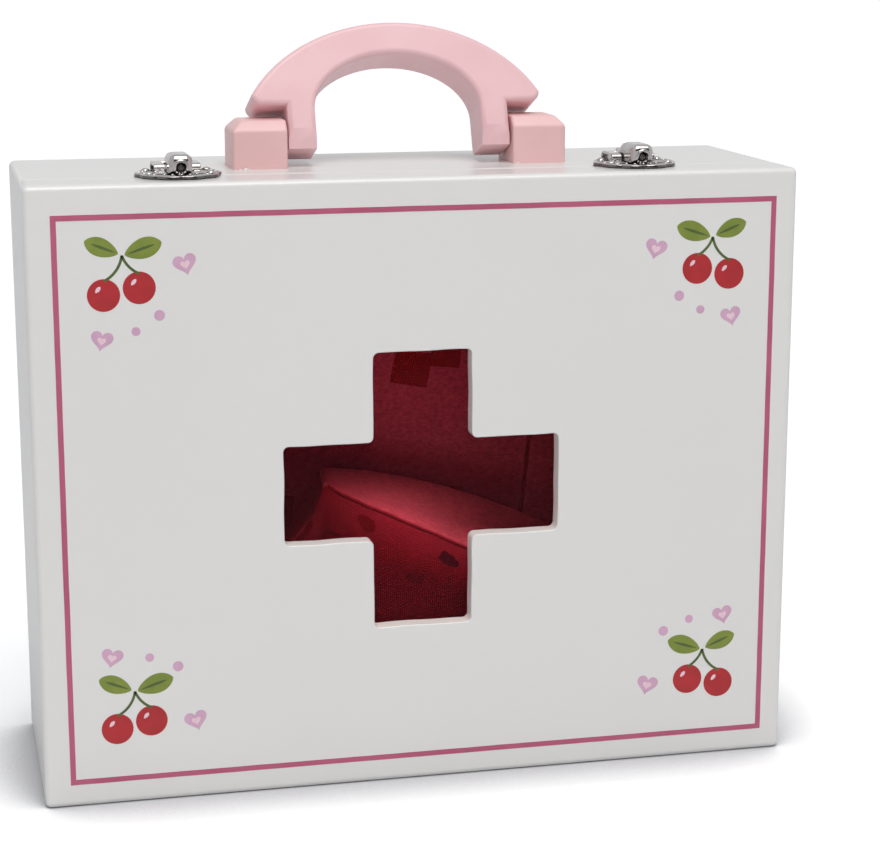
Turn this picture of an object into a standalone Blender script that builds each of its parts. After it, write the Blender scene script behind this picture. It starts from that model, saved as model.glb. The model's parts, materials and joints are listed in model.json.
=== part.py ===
"""A wooden toy doctor case, modelled piece by piece at its real size.

A shallow lid with a cross-shaped window is hinged along its bottom edge to a
deep tray. The tray carries an arched handle between two blocks, and two box
latches on the top hold the lid shut. The case stands on its bottom, with its
window facing -Y, and the origin is at the middle of its footprint.
"""

import math

import bmesh
import bpy
from mathutils import Matrix, Vector

MM = 0.001

# Case: overall sizes and the boards that make it
CASE_WIDTH = 250 * MM
CASE_DEPTH = 84 * MM
CASE_HEIGHT = 200 * MM
LID_DEPTH = 20 * MM
BOARD_THICKNESS = 7 * MM
FRONT_THICKNESS = 5.5 * MM
BACK_THICKNESS = 4 * MM
CASE_EDGE_RADIUS = 2 * MM
SEAM_GAP = 0.3 * MM
SEAM_EDGE_BEVEL = 0.4 * MM
SEAM_CHAMFER = 2 * MM

# Clearances that every piece keeps to its neighbours
SEAT_GAP = 0.3 * MM
CUT_OVERRUN = 1 * MM
TOUCH = 0.001 * MM

# Window: the cross cut through the front panel and the pane behind it
CROSS_WIDTH = 90.8 * MM
CROSS_HEIGHT = 91.2 * MM
CROSS_ARM = 32.5 * MM
CROSS_CENTRE_X = -0.8 * MM
CROSS_CENTRE_Z = 98.8 * MM
CROSS_CORNER_RADIUS = 1.8 * MM
PANE_THICKNESS = 1.5 * MM
PANE_MARGIN = 9 * MM
PANE_CORNER_RADIUS = 3 * MM

# Handle: an arched grip that leans back on its blocks
HANDLE_LEAN = math.radians(21)
PIVOT_Y = 2 * MM
PIVOT_RISE = 8 * MM
GRIP_THICKNESS = 18 * MM
GRIP_LENGTH = 97 * MM
GRIP_RISE = 37.6 * MM
GRIP_SPRING_DROP = 6 * MM
GRIP_EDGE_RADIUS = 2 * MM
SHOULDER_TIP_RADIUS = 2.6 * MM
FINGER_WIDTH = 55.6 * MM
FINGER_RISE = 26.7 * MM
FINGER_SPRING_RISE = 8 * MM
LEG_WIDTH = 9.3 * MM
LEG_DROP = 4.4 * MM
LEG_END_CHAMFER = 3.4 * MM
LEG_PLAY = 0.7 * MM

# Blocks and pins that carry the handle
BLOCK_WIDTH = 18 * MM
BLOCK_DEPTH = 20 * MM
BLOCK_HEIGHT = 15.6 * MM
BLOCK_CHAMFER = 3.2 * MM
BLOCK_EDGE_RADIUS = 0.9 * MM
HANDLE_PIN_RADIUS = 2 * MM
PIN_IN_LEG = 7 * MM
PIN_IN_BLOCK = 11 * MM
BLOCK_SCREW_SPACING = 11 * MM
BLOCK_SCREW_RADIUS = 1.5 * MM
BLOCK_SCREW_LENGTH = 17 * MM
BLOCK_SCREW_HEAD_RADIUS = 3 * MM
BLOCK_SCREW_HEAD_HEIGHT = 1.8 * MM

# Hinges: two butt hinges let into the bottom across the seam
HINGE_INSET = 50 * MM
HINGE_WIDTH = 18 * MM
LEAF_REACH = 9.5 * MM
LEAF_THICKNESS = 0.8 * MM
BARREL_RADIUS = 1.3 * MM
BARREL_LIFT = 0.05 * MM
HINGE_PIN_RADIUS = 0.55 * MM
KNUCKLE_GAP = 0.3 * MM
LEAF_SCREW_SPACING = 9 * MM
LEAF_SCREW_INSET = 3.6 * MM
LEAF_SCREW_RADIUS = 0.8 * MM
LEAF_SCREW_HEAD_RADIUS = 1.5 * MM
LEAF_SCREW_LENGTH = 4.5 * MM

# Latches: a plate on each side of the seam and a hinged hood over a ball
LATCH_INSET = 49.7 * MM
PLATE_WIDTH = 27.5 * MM
PLATE_REACH = 14 * MM
PLATE_THICKNESS = 1 * MM
PLATE_RIM = 1.2 * MM
PLATE_SINK = 0.35 * MM
NAIL_SPACING = 19.4 * MM
NAIL_INSET = 5.6 * MM
NAIL_RADIUS = 0.6 * MM
NAIL_LENGTH = 5.5 * MM
NAIL_HEAD_RADIUS = 1.4 * MM
NAIL_HEAD_HEIGHT = 0.9 * MM
LATCH_PIN_BACK = 10.5 * MM
LATCH_PIN_RADIUS = 0.6 * MM
LATCH_BARREL_RADIUS = 1.6 * MM
LATCH_LUG_WIDTH = 1.6 * MM
LATCH_WING_WIDTH = 1.9 * MM
HOOD_WIDTH = 9 * MM
HOOD_REACH = 20 * MM
HOOD_RISE = 4.3 * MM
HOOD_START = 2.2 * MM
HOOD_SLOPE_END = 6.7 * MM
HOOD_NOSE = 6.7 * MM
HOOD_SHEET = 0.8 * MM
HOOD_TONGUE_WIDTH = 6.4 * MM
HOOD_EDGE_RADIUS = 1.7 * MM
HOOD_WINDOW_WIDTH = 3.4 * MM
HOOD_WINDOW_RISE = 1.9 * MM
BALL_RADIUS = 1.9 * MM
BALL_NECK_RADIUS = 0.9 * MM
BALL_LIFT = 0.2 * MM

# Cloth: a folded cotton cloth that stands inside the tray
CLOTH_LEFT = -62 * MM
CLOTH_RIGHT = 84 * MM
CLOTH_THICKNESS = 34 * MM
CLOTH_FRONT_CLEARANCE = 3 * MM
CLOTH_HIGH = 104 * MM
CLOTH_LOW = 74 * MM
CLOTH_ROUNDING = 9 * MM
CLOTH_FOLD_DEPTH = 2 * MM

# Facet counts
ROUND_STEPS = 16
SMALL_ROUND_STEPS = 10
ARCH_STEPS = 26
CORNER_STEPS = 3
DOME_STEPS = 3
TIP_STEPS = 2
BEND_STEPS = 4
SCALLOP_STEPS = 32
SHARP_ANGLE = math.radians(32)

# Shares that shape outlines
SCALLOP_SHARE = 0.055
SCALLOP_COUNT = 5
WING_END_SHARE = 0.4
FOLD_PITCH_SHARES = (0.22, 0.5, 0.78)

# Places worked out from the sizes
FRONT_Y = -CASE_DEPTH / 2
BACK_Y = CASE_DEPTH / 2
SEAM_Y = FRONT_Y + LID_DEPTH
LID_SEAM_Y = SEAM_Y - SEAM_GAP / 2
BASE_SEAM_Y = SEAM_Y + SEAM_GAP / 2
LID_FRAME_FRONT_Y = FRONT_Y + FRONT_THICKNESS + SEAT_GAP
BASE_FRAME_BACK_Y = BACK_Y - BACK_THICKNESS - SEAT_GAP
SIDE_X = CASE_WIDTH / 2
INNER_X = SIDE_X - BOARD_THICKNESS
SHELF_X = INNER_X - SEAT_GAP
TOP_Z = CASE_HEIGHT
PIVOT_Z = TOP_Z + PIVOT_RISE
LEG_INNER_X = FINGER_WIDTH / 2
LEG_OUTER_X = LEG_INNER_X + LEG_WIDTH
BLOCK_INNER_X = LEG_OUTER_X + LEG_PLAY
BLOCK_X = BLOCK_INNER_X + BLOCK_WIDTH / 2
BLOCK_TOP_Z = TOP_Z + BLOCK_HEIGHT
HINGE_X = SIDE_X - HINGE_INSET
HINGE_Z = BARREL_RADIUS + BARREL_LIFT
HINGE_NOTCH = SEAM_GAP / 2 + SEAM_CHAMFER
LATCH_X = SIDE_X - LATCH_INSET
PLATE_BOTTOM_Z = TOP_Z + SEAT_GAP
PLATE_TOP_Z = PLATE_BOTTOM_Z + PLATE_THICKNESS
PLATE_FLOOR_Z = PLATE_TOP_Z - PLATE_SINK
LATCH_PIN_Y = SEAM_Y + LATCH_PIN_BACK
LATCH_PIN_Z = PLATE_TOP_Z + SEAT_GAP + LATCH_BARREL_RADIUS
HOOD_BOTTOM = PLATE_TOP_Z + SEAT_GAP - LATCH_PIN_Z
LUG_INNER_X = HOOD_TONGUE_WIDTH / 2 + KNUCKLE_GAP
LUG_OUTER_X = LUG_INNER_X + LATCH_LUG_WIDTH
NAIL_X = NAIL_SPACING / 2

SIDES = (("left", -1), ("right", 1))


def clear_scene():
    for item in list(bpy.data.objects):
        bpy.data.objects.remove(item)


def make_material(name, colour, roughness, metallic=0.0):
    material = bpy.data.materials.new(name)
    material.use_nodes = True
    shader = material.node_tree.nodes["Principled BSDF"]
    shader.inputs["Base Color"].default_value = (*colour, 1)
    shader.inputs["Roughness"].default_value = roughness
    shader.inputs["Metallic"].default_value = metallic
    material.diffuse_color = (*colour, 1)
    return material


def add_object(name, bm, material, place=(0, 0, 0)):
    """Turn a bmesh into a named object whose origin is at its own place."""
    bmesh.ops.recalc_face_normals(bm, faces=bm.faces)
    mesh = bpy.data.meshes.new(name)
    bm.to_mesh(mesh)
    bm.free()
    mesh.materials.append(material)
    item = bpy.data.objects.new(name, mesh)
    item.location = place
    bpy.context.collection.objects.link(item)
    return item


def shade_round(item):
    item.data.shade_smooth()
    item.data.set_sharp_from_angle(angle=SHARP_ANGLE)


def as_tool(item):
    """Hide a cutter or a shape that is only merged into another piece."""
    item.hide_render = True
    item.display_type = "WIRE"
    return item


def combine(target, tool, operation):
    modifier = target.modifiers.new(operation.title(), "BOOLEAN")
    modifier.operation = operation
    modifier.solver = "EXACT"
    modifier.use_self = True
    modifier.object = as_tool(tool)


def box(low, high):
    """A block between two opposite corners."""
    low = Vector(low)
    high = Vector(high)
    bm = bmesh.new()
    bmesh.ops.create_cube(bm, size=1)
    size = Matrix.Diagonal((*(high - low), 1))
    bmesh.ops.transform(bm, matrix=Matrix.Translation((low + high) / 2) @ size, verts=bm.verts)
    return bm


def edges_at(bm, x=None, y=None, z=None):
    """Edges whose two ends both lie at the given coordinates."""
    wanted = [(axis, value) for axis, value in enumerate((x, y, z)) if value is not None]

    def lies_there(edge):
        return all(abs(v.co[axis] - value) < TOUCH for v in edge.verts for axis, value in wanted)

    return [edge for edge in bm.edges if lies_there(edge)]


def bevel(bm, edges, width, segments=1):
    bmesh.ops.bevel(bm, geom=list(set(edges)), offset=width, segments=segments,
                    profile=0.5, affect="EDGES", clamp_overlap=True)


def arc(centre, radius, start, end, steps):
    """Points on an arc of a circle, or of an ellipse where radius is a pair."""
    across, up = radius if isinstance(radius, tuple) else (radius, radius)
    points = []
    for step in range(steps + 1):
        angle = start + (end - start) * step / steps
        points.append((centre[0] + across * math.cos(angle), centre[1] + up * math.sin(angle)))
    return points


def rounded(corners, radius, steps=CORNER_STEPS):
    """Round every corner of an outline of straight sides."""
    points = []
    for index, corner in enumerate(corners):
        here = Vector(corner)
        before = (Vector(corners[index - 1]) - here).normalized()
        after = (Vector(corners[(index + 1) % len(corners)]) - here).normalized()
        half = before.angle(after) / 2
        middle = here + (before + after).normalized() * radius / math.sin(half)
        first = here + before * radius / math.tan(half) - middle
        turn = first.angle_signed(here + after * radius / math.tan(half) - middle)
        for step in range(steps + 1):
            spoke = first.copy()
            spoke.rotate(Matrix.Rotation(-turn * step / steps, 2))
            points.append(tuple(middle + spoke))
    return points


def prism(outline, low, high, frame):
    """Extrude an outline from low to high.

    frame names the three axes that the outline's first coordinate, its second
    coordinate and the extrusion run along, such as "xzy".
    """
    first, second, third = ("xyz".index(letter) for letter in frame)
    bm = bmesh.new()
    ring = []
    for across, up in outline:
        place = Vector()
        place[first], place[second], place[third] = across, up, low
        ring.append(bm.verts.new(place))
    face = bm.faces.new(ring)
    pushed = bmesh.ops.extrude_face_region(bm, geom=[face])
    shift = Vector()
    shift[third] = high - low
    moved = [part for part in pushed["geom"] if isinstance(part, bmesh.types.BMVert)]
    bmesh.ops.translate(bm, vec=shift, verts=moved)
    bmesh.ops.recalc_face_normals(bm, faces=bm.faces)
    return bm


def turned(profile, steps):
    """Turn a profile of (radius, height) points, axis to axis, about Z."""
    bm = bmesh.new()
    chain = [bm.verts.new((radius, 0, height)) for radius, height in profile]
    edges = [bm.edges.new(pair) for pair in zip(chain, chain[1:])]
    bmesh.ops.spin(bm, geom=chain + edges, axis=(0, 0, 1), cent=(0, 0, 0),
                   angle=math.tau, steps=steps, use_merge=True)
    bmesh.ops.remove_doubles(bm, verts=bm.verts, dist=TOUCH)
    bmesh.ops.recalc_face_normals(bm, faces=bm.faces)
    return bm


def rod(radius, low, high, axis, steps=ROUND_STEPS):
    """A round bar along one axis, from low to high, about the origin."""
    bm = turned([(0, low), (radius, low), (radius, high), (0, high)], steps)
    turn = {"x": Matrix.Rotation(math.pi / 2, 4, "Y"), "z": Matrix.Identity(4)}[axis]
    bmesh.ops.transform(bm, matrix=turn, verts=bm.verts)
    return bm


def placed(bm, x=0, y=0, z=0):
    bmesh.ops.translate(bm, vec=(x, y, z), verts=bm.verts)
    return bm


def joined(pieces):
    """Put several separate shapes into one bmesh."""
    whole = bmesh.new()
    for piece in pieces:
        mesh = bpy.data.meshes.new("joined")
        piece.to_mesh(mesh)
        piece.free()
        whole.from_mesh(mesh)
        bpy.data.meshes.remove(mesh)
    return whole


def both_latches():
    """The middle line of each latch."""
    return [sign * LATCH_X for _, sign in SIDES]


def nail_places(plate_y):
    """Where the nails of the plates on one side of the seam go."""
    return [(middle + sign * NAIL_X, plate_y) for middle in both_latches() for _, sign in SIDES]


REAR_NAILS = nail_places(SEAM_Y + NAIL_INSET)
FRONT_NAILS = nail_places(SEAM_Y - NAIL_INSET)
BLOCK_SCREWS = [(side * BLOCK_X, PIVOT_Y + row * BLOCK_SCREW_SPACING / 2)
                for _, side in SIDES for _, row in SIDES]


def leaf_screw_places(direction):
    """Screws of the hinge leaves that reach to +Y (1) or to -Y (-1)."""
    y = SEAM_Y + direction * (LEAF_REACH - LEAF_SCREW_INSET)
    return [(middle * HINGE_X + row * LEAF_SCREW_SPACING / 2, y)
            for _, middle in SIDES for _, row in SIDES]


def nail_holes(places):
    depth = NAIL_LENGTH + SEAT_GAP
    return [placed(rod(NAIL_RADIUS + SEAT_GAP, -depth, CUT_OVERRUN, "z", SMALL_ROUND_STEPS),
                   x, y, TOP_Z) for x, y in places]


def make_shelf(name, material, low_y, high_y, low_z, seam_y, holes):
    """A top or bottom board, between the sides, with its holes."""
    bm = box((-SHELF_X, low_y, low_z), (SHELF_X, high_y, low_z + BOARD_THICKNESS))
    if low_z == 0:
        bevel(bm, edges_at(bm, y=seam_y, z=0), SEAM_CHAMFER)
    else:
        bevel(bm, edges_at(bm, y=seam_y, z=TOP_Z), SEAM_EDGE_BEVEL)
    board = add_object(name, bm, material)
    combine(board, add_object(name + "_cutter", joined(holes), material), "DIFFERENCE")
    return board


def make_side(name, material, side, low_y, high_y, seam_y):
    """A side board, full height, rounded along its two outer corners."""
    outer = side * SIDE_X
    inner = side * INNER_X
    bm = box((min(outer, inner), low_y, 0), (max(outer, inner), high_y, CASE_HEIGHT))
    bevel(bm, edges_at(bm, y=seam_y, z=0), SEAM_CHAMFER)
    bevel(bm, edges_at(bm, y=seam_y, x=outer), SEAM_EDGE_BEVEL)
    corners = edges_at(bm, x=outer, z=0) + edges_at(bm, x=outer, z=CASE_HEIGHT)
    bevel(bm, corners, CASE_EDGE_RADIUS, CORNER_STEPS)
    return add_object(name, bm, material)


def panel_blank(low_y, high_y, outer_y):
    """A full-size panel whose outer face and corners are rounded over."""
    bm = box((-SIDE_X, low_y, 0), (SIDE_X, high_y, CASE_HEIGHT))
    picked = edges_at(bm, y=outer_y)
    for x in (-SIDE_X, SIDE_X):
        for z in (0, CASE_HEIGHT):
            picked += edges_at(bm, x=x, z=z)
    bevel(bm, picked, CASE_EDGE_RADIUS, CORNER_STEPS)
    return bm


def cross_outline():
    """The twelve corners of the window, each with its small radius."""
    wide, high, arm = CROSS_WIDTH / 2, CROSS_HEIGHT / 2, CROSS_ARM / 2
    quarter = [(wide, arm), (arm, arm), (arm, high)]
    corners = []
    for x_sign, z_sign, order in ((1, 1, 1), (-1, 1, -1), (-1, -1, 1), (1, -1, -1)):
        corners += [(x_sign * x, z_sign * z) for x, z in quarter[::order]]
    return [(CROSS_CENTRE_X + x, CROSS_CENTRE_Z + z)
            for x, z in rounded(corners, CROSS_CORNER_RADIUS)]


def make_front_panel(paint):
    panel = add_object("front_panel", panel_blank(FRONT_Y, FRONT_Y + FRONT_THICKNESS, FRONT_Y), paint)
    cut = prism(cross_outline(), FRONT_Y - CUT_OVERRUN,
                FRONT_Y + FRONT_THICKNESS + CUT_OVERRUN, "xzy")
    combine(panel, add_object("cross_cutter", cut, paint), "DIFFERENCE")


def make_window_pane(acrylic):
    wide = CROSS_WIDTH / 2 + PANE_MARGIN
    high = CROSS_HEIGHT / 2 + PANE_MARGIN
    corners = [(wide, high), (-wide, high), (-wide, -high), (wide, -high)]
    outline = [(CROSS_CENTRE_X + x, CROSS_CENTRE_Z + z)
               for x, z in rounded(corners, PANE_CORNER_RADIUS)]
    bm = prism(outline, LID_FRAME_FRONT_Y, LID_FRAME_FRONT_Y + PANE_THICKNESS, "xzy")
    add_object("window_pane", bm, acrylic)


def hinge_cuts(direction):
    """Notch for the barrel, bed for the leaf and holes for its screws."""
    cuts = []
    reach = LEAF_REACH + SEAT_GAP
    half = HINGE_WIDTH / 2 + SEAT_GAP
    notch_top = HINGE_Z + BARREL_RADIUS + SEAT_GAP
    bed_top = BARREL_LIFT + LEAF_THICKNESS + SEAT_GAP
    for _, side in SIDES:
        x = side * HINGE_X
        profile = [(0, -CUT_OVERRUN), (0, notch_top), (HINGE_NOTCH, notch_top),
                   (HINGE_NOTCH, bed_top), (reach, bed_top), (reach, -CUT_OVERRUN)]
        outline = [(SEAM_Y + direction * y, z) for y, z in profile]
        cuts.append(prism(outline, x - half, x + half, "yzx"))
    hole_top = bed_top + LEAF_SCREW_LENGTH
    for x, y in leaf_screw_places(direction):
        hole = rod(LEAF_SCREW_RADIUS + SEAT_GAP, 0, hole_top, "z", SMALL_ROUND_STEPS)
        cuts.append(placed(hole, x, y))
    return cuts


def make_lid(paint):
    low_y, high_y = LID_FRAME_FRONT_Y, LID_SEAM_Y
    make_shelf("lid_top_board", paint, low_y, high_y, TOP_Z - BOARD_THICKNESS, high_y,
               nail_holes(FRONT_NAILS))
    make_shelf("lid_bottom_board", paint, low_y, high_y, 0, high_y, hinge_cuts(-1))
    for word, side in SIDES:
        make_side(f"lid_{word}_side", paint, side, low_y, high_y, high_y)


def make_tray(paint):
    low_y, high_y = BASE_SEAM_Y, BASE_FRAME_BACK_Y
    screw_holes = [placed(rod(BLOCK_SCREW_RADIUS + SEAT_GAP, -BOARD_THICKNESS - CUT_OVERRUN,
                              CUT_OVERRUN, "z", SMALL_ROUND_STEPS), x, y, TOP_Z)
                   for x, y in BLOCK_SCREWS]
    make_shelf("tray_top_board", paint, low_y, high_y, TOP_Z - BOARD_THICKNESS, low_y,
               nail_holes(REAR_NAILS) + screw_holes)
    make_shelf("tray_bottom_board", paint, low_y, high_y, 0, low_y, hinge_cuts(1))
    for word, side in SIDES:
        make_side(f"tray_{word}_side", paint, side, low_y, high_y, low_y)
    add_object("back_panel", panel_blank(BACK_Y - BACK_THICKNESS, BACK_Y, BACK_Y), paint)


def knuckle_spans():
    """Where the hinge's knuckles lie along X: two on the tray, one on the lid."""
    third = HINGE_WIDTH / 3
    half = HINGE_WIDTH / 2
    gap = KNUCKLE_GAP / 2
    outer = [(-half, -half + third - gap), (half - third + gap, half)]
    middle = [(-half + third + gap, half - third - gap)]
    return {1: outer, -1: middle}


def make_hinge_leaf(name, steel, side, direction):
    """A leaf let in flush, with its knuckles rolled round the pin."""
    low, high = BARREL_LIFT, BARREL_LIFT + LEAF_THICKNESS
    near, far = HINGE_NOTCH, LEAF_REACH
    half = HINGE_WIDTH / 2
    place = (side * HINGE_X, SEAM_Y, HINGE_Z)
    plate = box((-half, min(direction * near, direction * far), low - HINGE_Z),
                (half, max(direction * near, direction * far), high - HINGE_Z))
    leaf = add_object(name, plate, steel, place)
    meet = math.asin((high - HINGE_Z) / BARREL_RADIUS)
    tail = near + LEAF_THICKNESS / 2
    outline = arc((0, 0), BARREL_RADIUS, meet, math.tau - math.pi / 2, ROUND_STEPS)
    outline += [(tail, low - HINGE_Z + TOUCH), (tail, high - HINGE_Z - TOUCH)]
    knuckles = [prism([(direction * y, z) for y, z in outline], start_x, end_x, "yzx")
                for start_x, end_x in knuckle_spans()[direction]]
    combine(leaf, add_object(name + "_knuckles", joined(knuckles), steel, place), "UNION")
    bore = rod(HINGE_PIN_RADIUS + SEAT_GAP, -half - CUT_OVERRUN, half + CUT_OVERRUN, "x")
    holes = []
    y = direction * (LEAF_REACH - LEAF_SCREW_INSET)
    for _, row in SIDES:
        funnel = leaf_screw_profile(SEAT_GAP, CUT_OVERRUN)
        holes.append(placed(turned(funnel, SMALL_ROUND_STEPS), row * LEAF_SCREW_SPACING / 2, y,
                            low - HINGE_Z))
    combine(leaf, add_object(name + "_bore", joined([bore] + holes), steel, place), "DIFFERENCE")
    shade_round(leaf)


def leaf_screw_profile(grown, overrun):
    """A countersunk screw, head down, or with grown the hole that it needs."""
    head = LEAF_SCREW_HEAD_RADIUS + grown
    shank = LEAF_SCREW_RADIUS + grown
    top = LEAF_THICKNESS + LEAF_SCREW_LENGTH
    profile = [(0, -overrun), (head, -overrun)]
    if overrun:
        profile.append((head, 0))
    profile += [(shank, LEAF_THICKNESS), (shank, top), (0, top)]
    return profile


def make_hinges(steel):
    for word, side in SIDES:
        make_hinge_leaf(f"hinge_leaf_tray_{word}", steel, side, 1)
        make_hinge_leaf(f"hinge_leaf_lid_{word}", steel, side, -1)
        half = HINGE_WIDTH / 2
        pin = add_object(f"hinge_pin_{word}", rod(HINGE_PIN_RADIUS, -half, half, "x"), steel,
                         (side * HINGE_X, SEAM_Y, HINGE_Z))
        shade_round(pin)
    for name, direction in (("hinge_screw_tray", 1), ("hinge_screw_lid", -1)):
        screw = turned(leaf_screw_profile(0, 0), SMALL_ROUND_STEPS)
        copies(name, screw, steel, leaf_screw_places(direction), BARREL_LIFT)


def make_block(word, side, wood, steel):
    """A chamfered block, bored from its inner face for the handle's pin."""
    inner, outer = side * BLOCK_INNER_X, side * (BLOCK_INNER_X + BLOCK_WIDTH)
    front, back = PIVOT_Y - BLOCK_DEPTH / 2, PIVOT_Y + BLOCK_DEPTH / 2
    bottom = TOP_Z + SEAT_GAP
    bm = box((min(inner, outer), front, bottom), (max(inner, outer), back, BLOCK_TOP_Z))
    top_edges = edges_at(bm, y=front, z=BLOCK_TOP_Z) + edges_at(bm, y=back, z=BLOCK_TOP_Z)
    top_edges += edges_at(bm, x=outer, z=BLOCK_TOP_Z)
    bevel(bm, top_edges, BLOCK_CHAMFER)
    upright = [edge for edge in bm.edges if all(v.co.z > bottom + TOUCH for v in edge.verts)
               or abs(edge.verts[0].co.z - edge.verts[1].co.z) > BLOCK_CHAMFER]
    bevel(bm, upright, BLOCK_EDGE_RADIUS, CORNER_STEPS - 1)
    block = add_object(f"handle_block_{word}", bm, wood)
    depth = PIN_IN_BLOCK + SEAT_GAP
    low, high = sorted((side * (BLOCK_INNER_X - CUT_OVERRUN), side * (BLOCK_INNER_X + depth)))
    cuts = [placed(rod(HANDLE_PIN_RADIUS + SEAT_GAP, low, high, "x"), 0, PIVOT_Y, PIVOT_Z)]
    screw_top = TOP_Z - BOARD_THICKNESS - SEAT_GAP + BLOCK_SCREW_LENGTH + SEAT_GAP
    for x, y in BLOCK_SCREWS:
        if x * side > 0:
            cuts.append(placed(rod(BLOCK_SCREW_RADIUS + SEAT_GAP, TOP_Z - CUT_OVERRUN, screw_top,
                                   "z", SMALL_ROUND_STEPS), x, y))
    combine(block, add_object(f"handle_block_{word}_cutter", joined(cuts), wood), "DIFFERENCE")
    low, high = sorted((side * (LEG_OUTER_X - PIN_IN_LEG), side * (BLOCK_INNER_X + PIN_IN_BLOCK)))
    pin = add_object(f"handle_pin_{word}", rod(HANDLE_PIN_RADIUS, low, high, "x"), steel,
                     (0, PIVOT_Y, PIVOT_Z))
    shade_round(pin)


def copies(name, bm, material, places, z):
    """One object for each place, all sharing one mesh."""
    first = add_object(f"{name}_1", bm, material, (*places[0], z))
    shade_round(first)
    for number, place in enumerate(places[1:], start=2):
        item = bpy.data.objects.new(f"{name}_{number}", first.data)
        item.location = (*place, z)
        bpy.context.collection.objects.link(item)


def make_block_screws(steel):
    """Round-headed screws from inside the tray, up into the blocks."""
    seat = TOP_Z - BOARD_THICKNESS - SEAT_GAP
    head = BLOCK_SCREW_HEAD_RADIUS
    crown = BLOCK_SCREW_HEAD_HEIGHT
    profile = [(0, -crown)]
    profile += [(across, up) for across, up in arc((0, 0), (head, crown), -math.pi / 3, 0, DOME_STEPS)]
    profile += [(BLOCK_SCREW_RADIUS, 0), (BLOCK_SCREW_RADIUS, BLOCK_SCREW_LENGTH),
                (0, BLOCK_SCREW_LENGTH)]
    copies("block_screw", turned(profile, SMALL_ROUND_STEPS), steel, BLOCK_SCREWS, seat)


def shoulder_rise():
    """How far the grip's shoulders lie above the pivot, to rest on the blocks."""
    corner_y = BLOCK_DEPTH / 2 - BLOCK_CHAMFER
    corner_z = BLOCK_TOP_Z - PIVOT_Z
    return corner_y * math.sin(HANDLE_LEAN) + corner_z * math.cos(HANDLE_LEAN) + SEAT_GAP


def grip_outline():
    """The sawn outline of the grip, upright, with the pivot at zero."""
    rise = shoulder_rise()
    tip = SHOULDER_TIP_RADIUS
    height = GRIP_RISE + GRIP_SPRING_DROP
    start = math.asin((rise + tip + GRIP_SPRING_DROP) / height)
    outer = (GRIP_LENGTH / 2 / math.cos(start), height)
    over = arc((0, -GRIP_SPRING_DROP), outer, start, math.pi - start, ARCH_STEPS)
    right_tip = arc((GRIP_LENGTH / 2 - tip, rise + tip), tip, -math.pi / 2, 0, TIP_STEPS)[:-1]
    left_tip = [(-x, z) for x, z in reversed(right_tip)]
    left_leg = [(-LEG_OUTER_X, rise), (-LEG_OUTER_X, -LEG_DROP), (-LEG_INNER_X, -LEG_DROP)]
    inner = arc((0, FINGER_SPRING_RISE), (LEG_INNER_X, FINGER_RISE - FINGER_SPRING_RISE),
                math.pi, 0, ARCH_STEPS)
    right_leg = [(-x, z) for x, z in reversed(left_leg)]
    return right_tip + over + left_tip + left_leg + inner + right_leg


def make_grip(wood):
    half = GRIP_THICKNESS / 2
    bm = prism(grip_outline(), -half, half, "xzy")
    ends = edges_at(bm, y=-half, z=-LEG_DROP) + edges_at(bm, y=half, z=-LEG_DROP)
    bevel(bm, ends, LEG_END_CHAMFER)
    faces = edges_at(bm, y=-half) + edges_at(bm, y=half)
    faces = [edge for edge in faces if edge.calc_face_angle() > SHARP_ANGLE]
    bevel(bm, faces, GRIP_EDGE_RADIUS, CORNER_STEPS)
    grip = add_object("handle_grip", bm, wood, (0, PIVOT_Y, PIVOT_Z))
    bores = []
    for _, side in SIDES:
        inner = side * (LEG_OUTER_X - PIN_IN_LEG - SEAT_GAP)
        outer = side * (LEG_OUTER_X + CUT_OVERRUN)
        bores.append(rod(HANDLE_PIN_RADIUS + SEAT_GAP, min(inner, outer), max(inner, outer), "x"))
    cutter = add_object("handle_grip_cutter", joined(bores), wood, (0, PIVOT_Y, PIVOT_Z))
    combine(grip, cutter, "DIFFERENCE")
    grip.rotation_euler = (-HANDLE_LEAN, 0, 0)
    cutter.rotation_euler = (-HANDLE_LEAN, 0, 0)
    shade_round(grip)


def plate_outline(direction, inset=0):
    """Half of a scalloped oval, straight along the seam, drawn in by inset."""
    half = PLATE_WIDTH / 2 - inset
    near = SEAM_GAP / 2 + inset
    far = PLATE_REACH - inset
    points = []
    for step in range(SCALLOP_STEPS + 1):
        angle = math.pi * step / SCALLOP_STEPS
        swell = 1 - SCALLOP_SHARE * (1 - abs(math.cos(SCALLOP_COUNT * angle)))
        points.append((half * math.cos(angle) * swell,
                       direction * (near + (far - near) * math.sin(angle) * swell)))
    return points


def make_plate(name, steel, side, direction, nails):
    """A stamped plate with a sunk middle, holed for its nails."""
    place = (side * LATCH_X, SEAM_Y, PLATE_BOTTOM_Z)
    bm = prism(plate_outline(direction), 0, PLATE_THICKNESS, "xyz")
    plate = add_object(name, bm, steel, place)
    sunk = prism(plate_outline(direction, PLATE_RIM), PLATE_THICKNESS - PLATE_SINK,
                 PLATE_THICKNESS + CUT_OVERRUN, "xyz")
    combine(plate, add_object(name + "_middle", sunk, steel, place), "DIFFERENCE")
    holes = [placed(rod(NAIL_RADIUS + SEAT_GAP, -CUT_OVERRUN, PLATE_THICKNESS + CUT_OVERRUN, "z",
                        SMALL_ROUND_STEPS), x - side * LATCH_X, y - SEAM_Y)
             for x, y in nails if x * side > 0]
    return plate, holes


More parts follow.
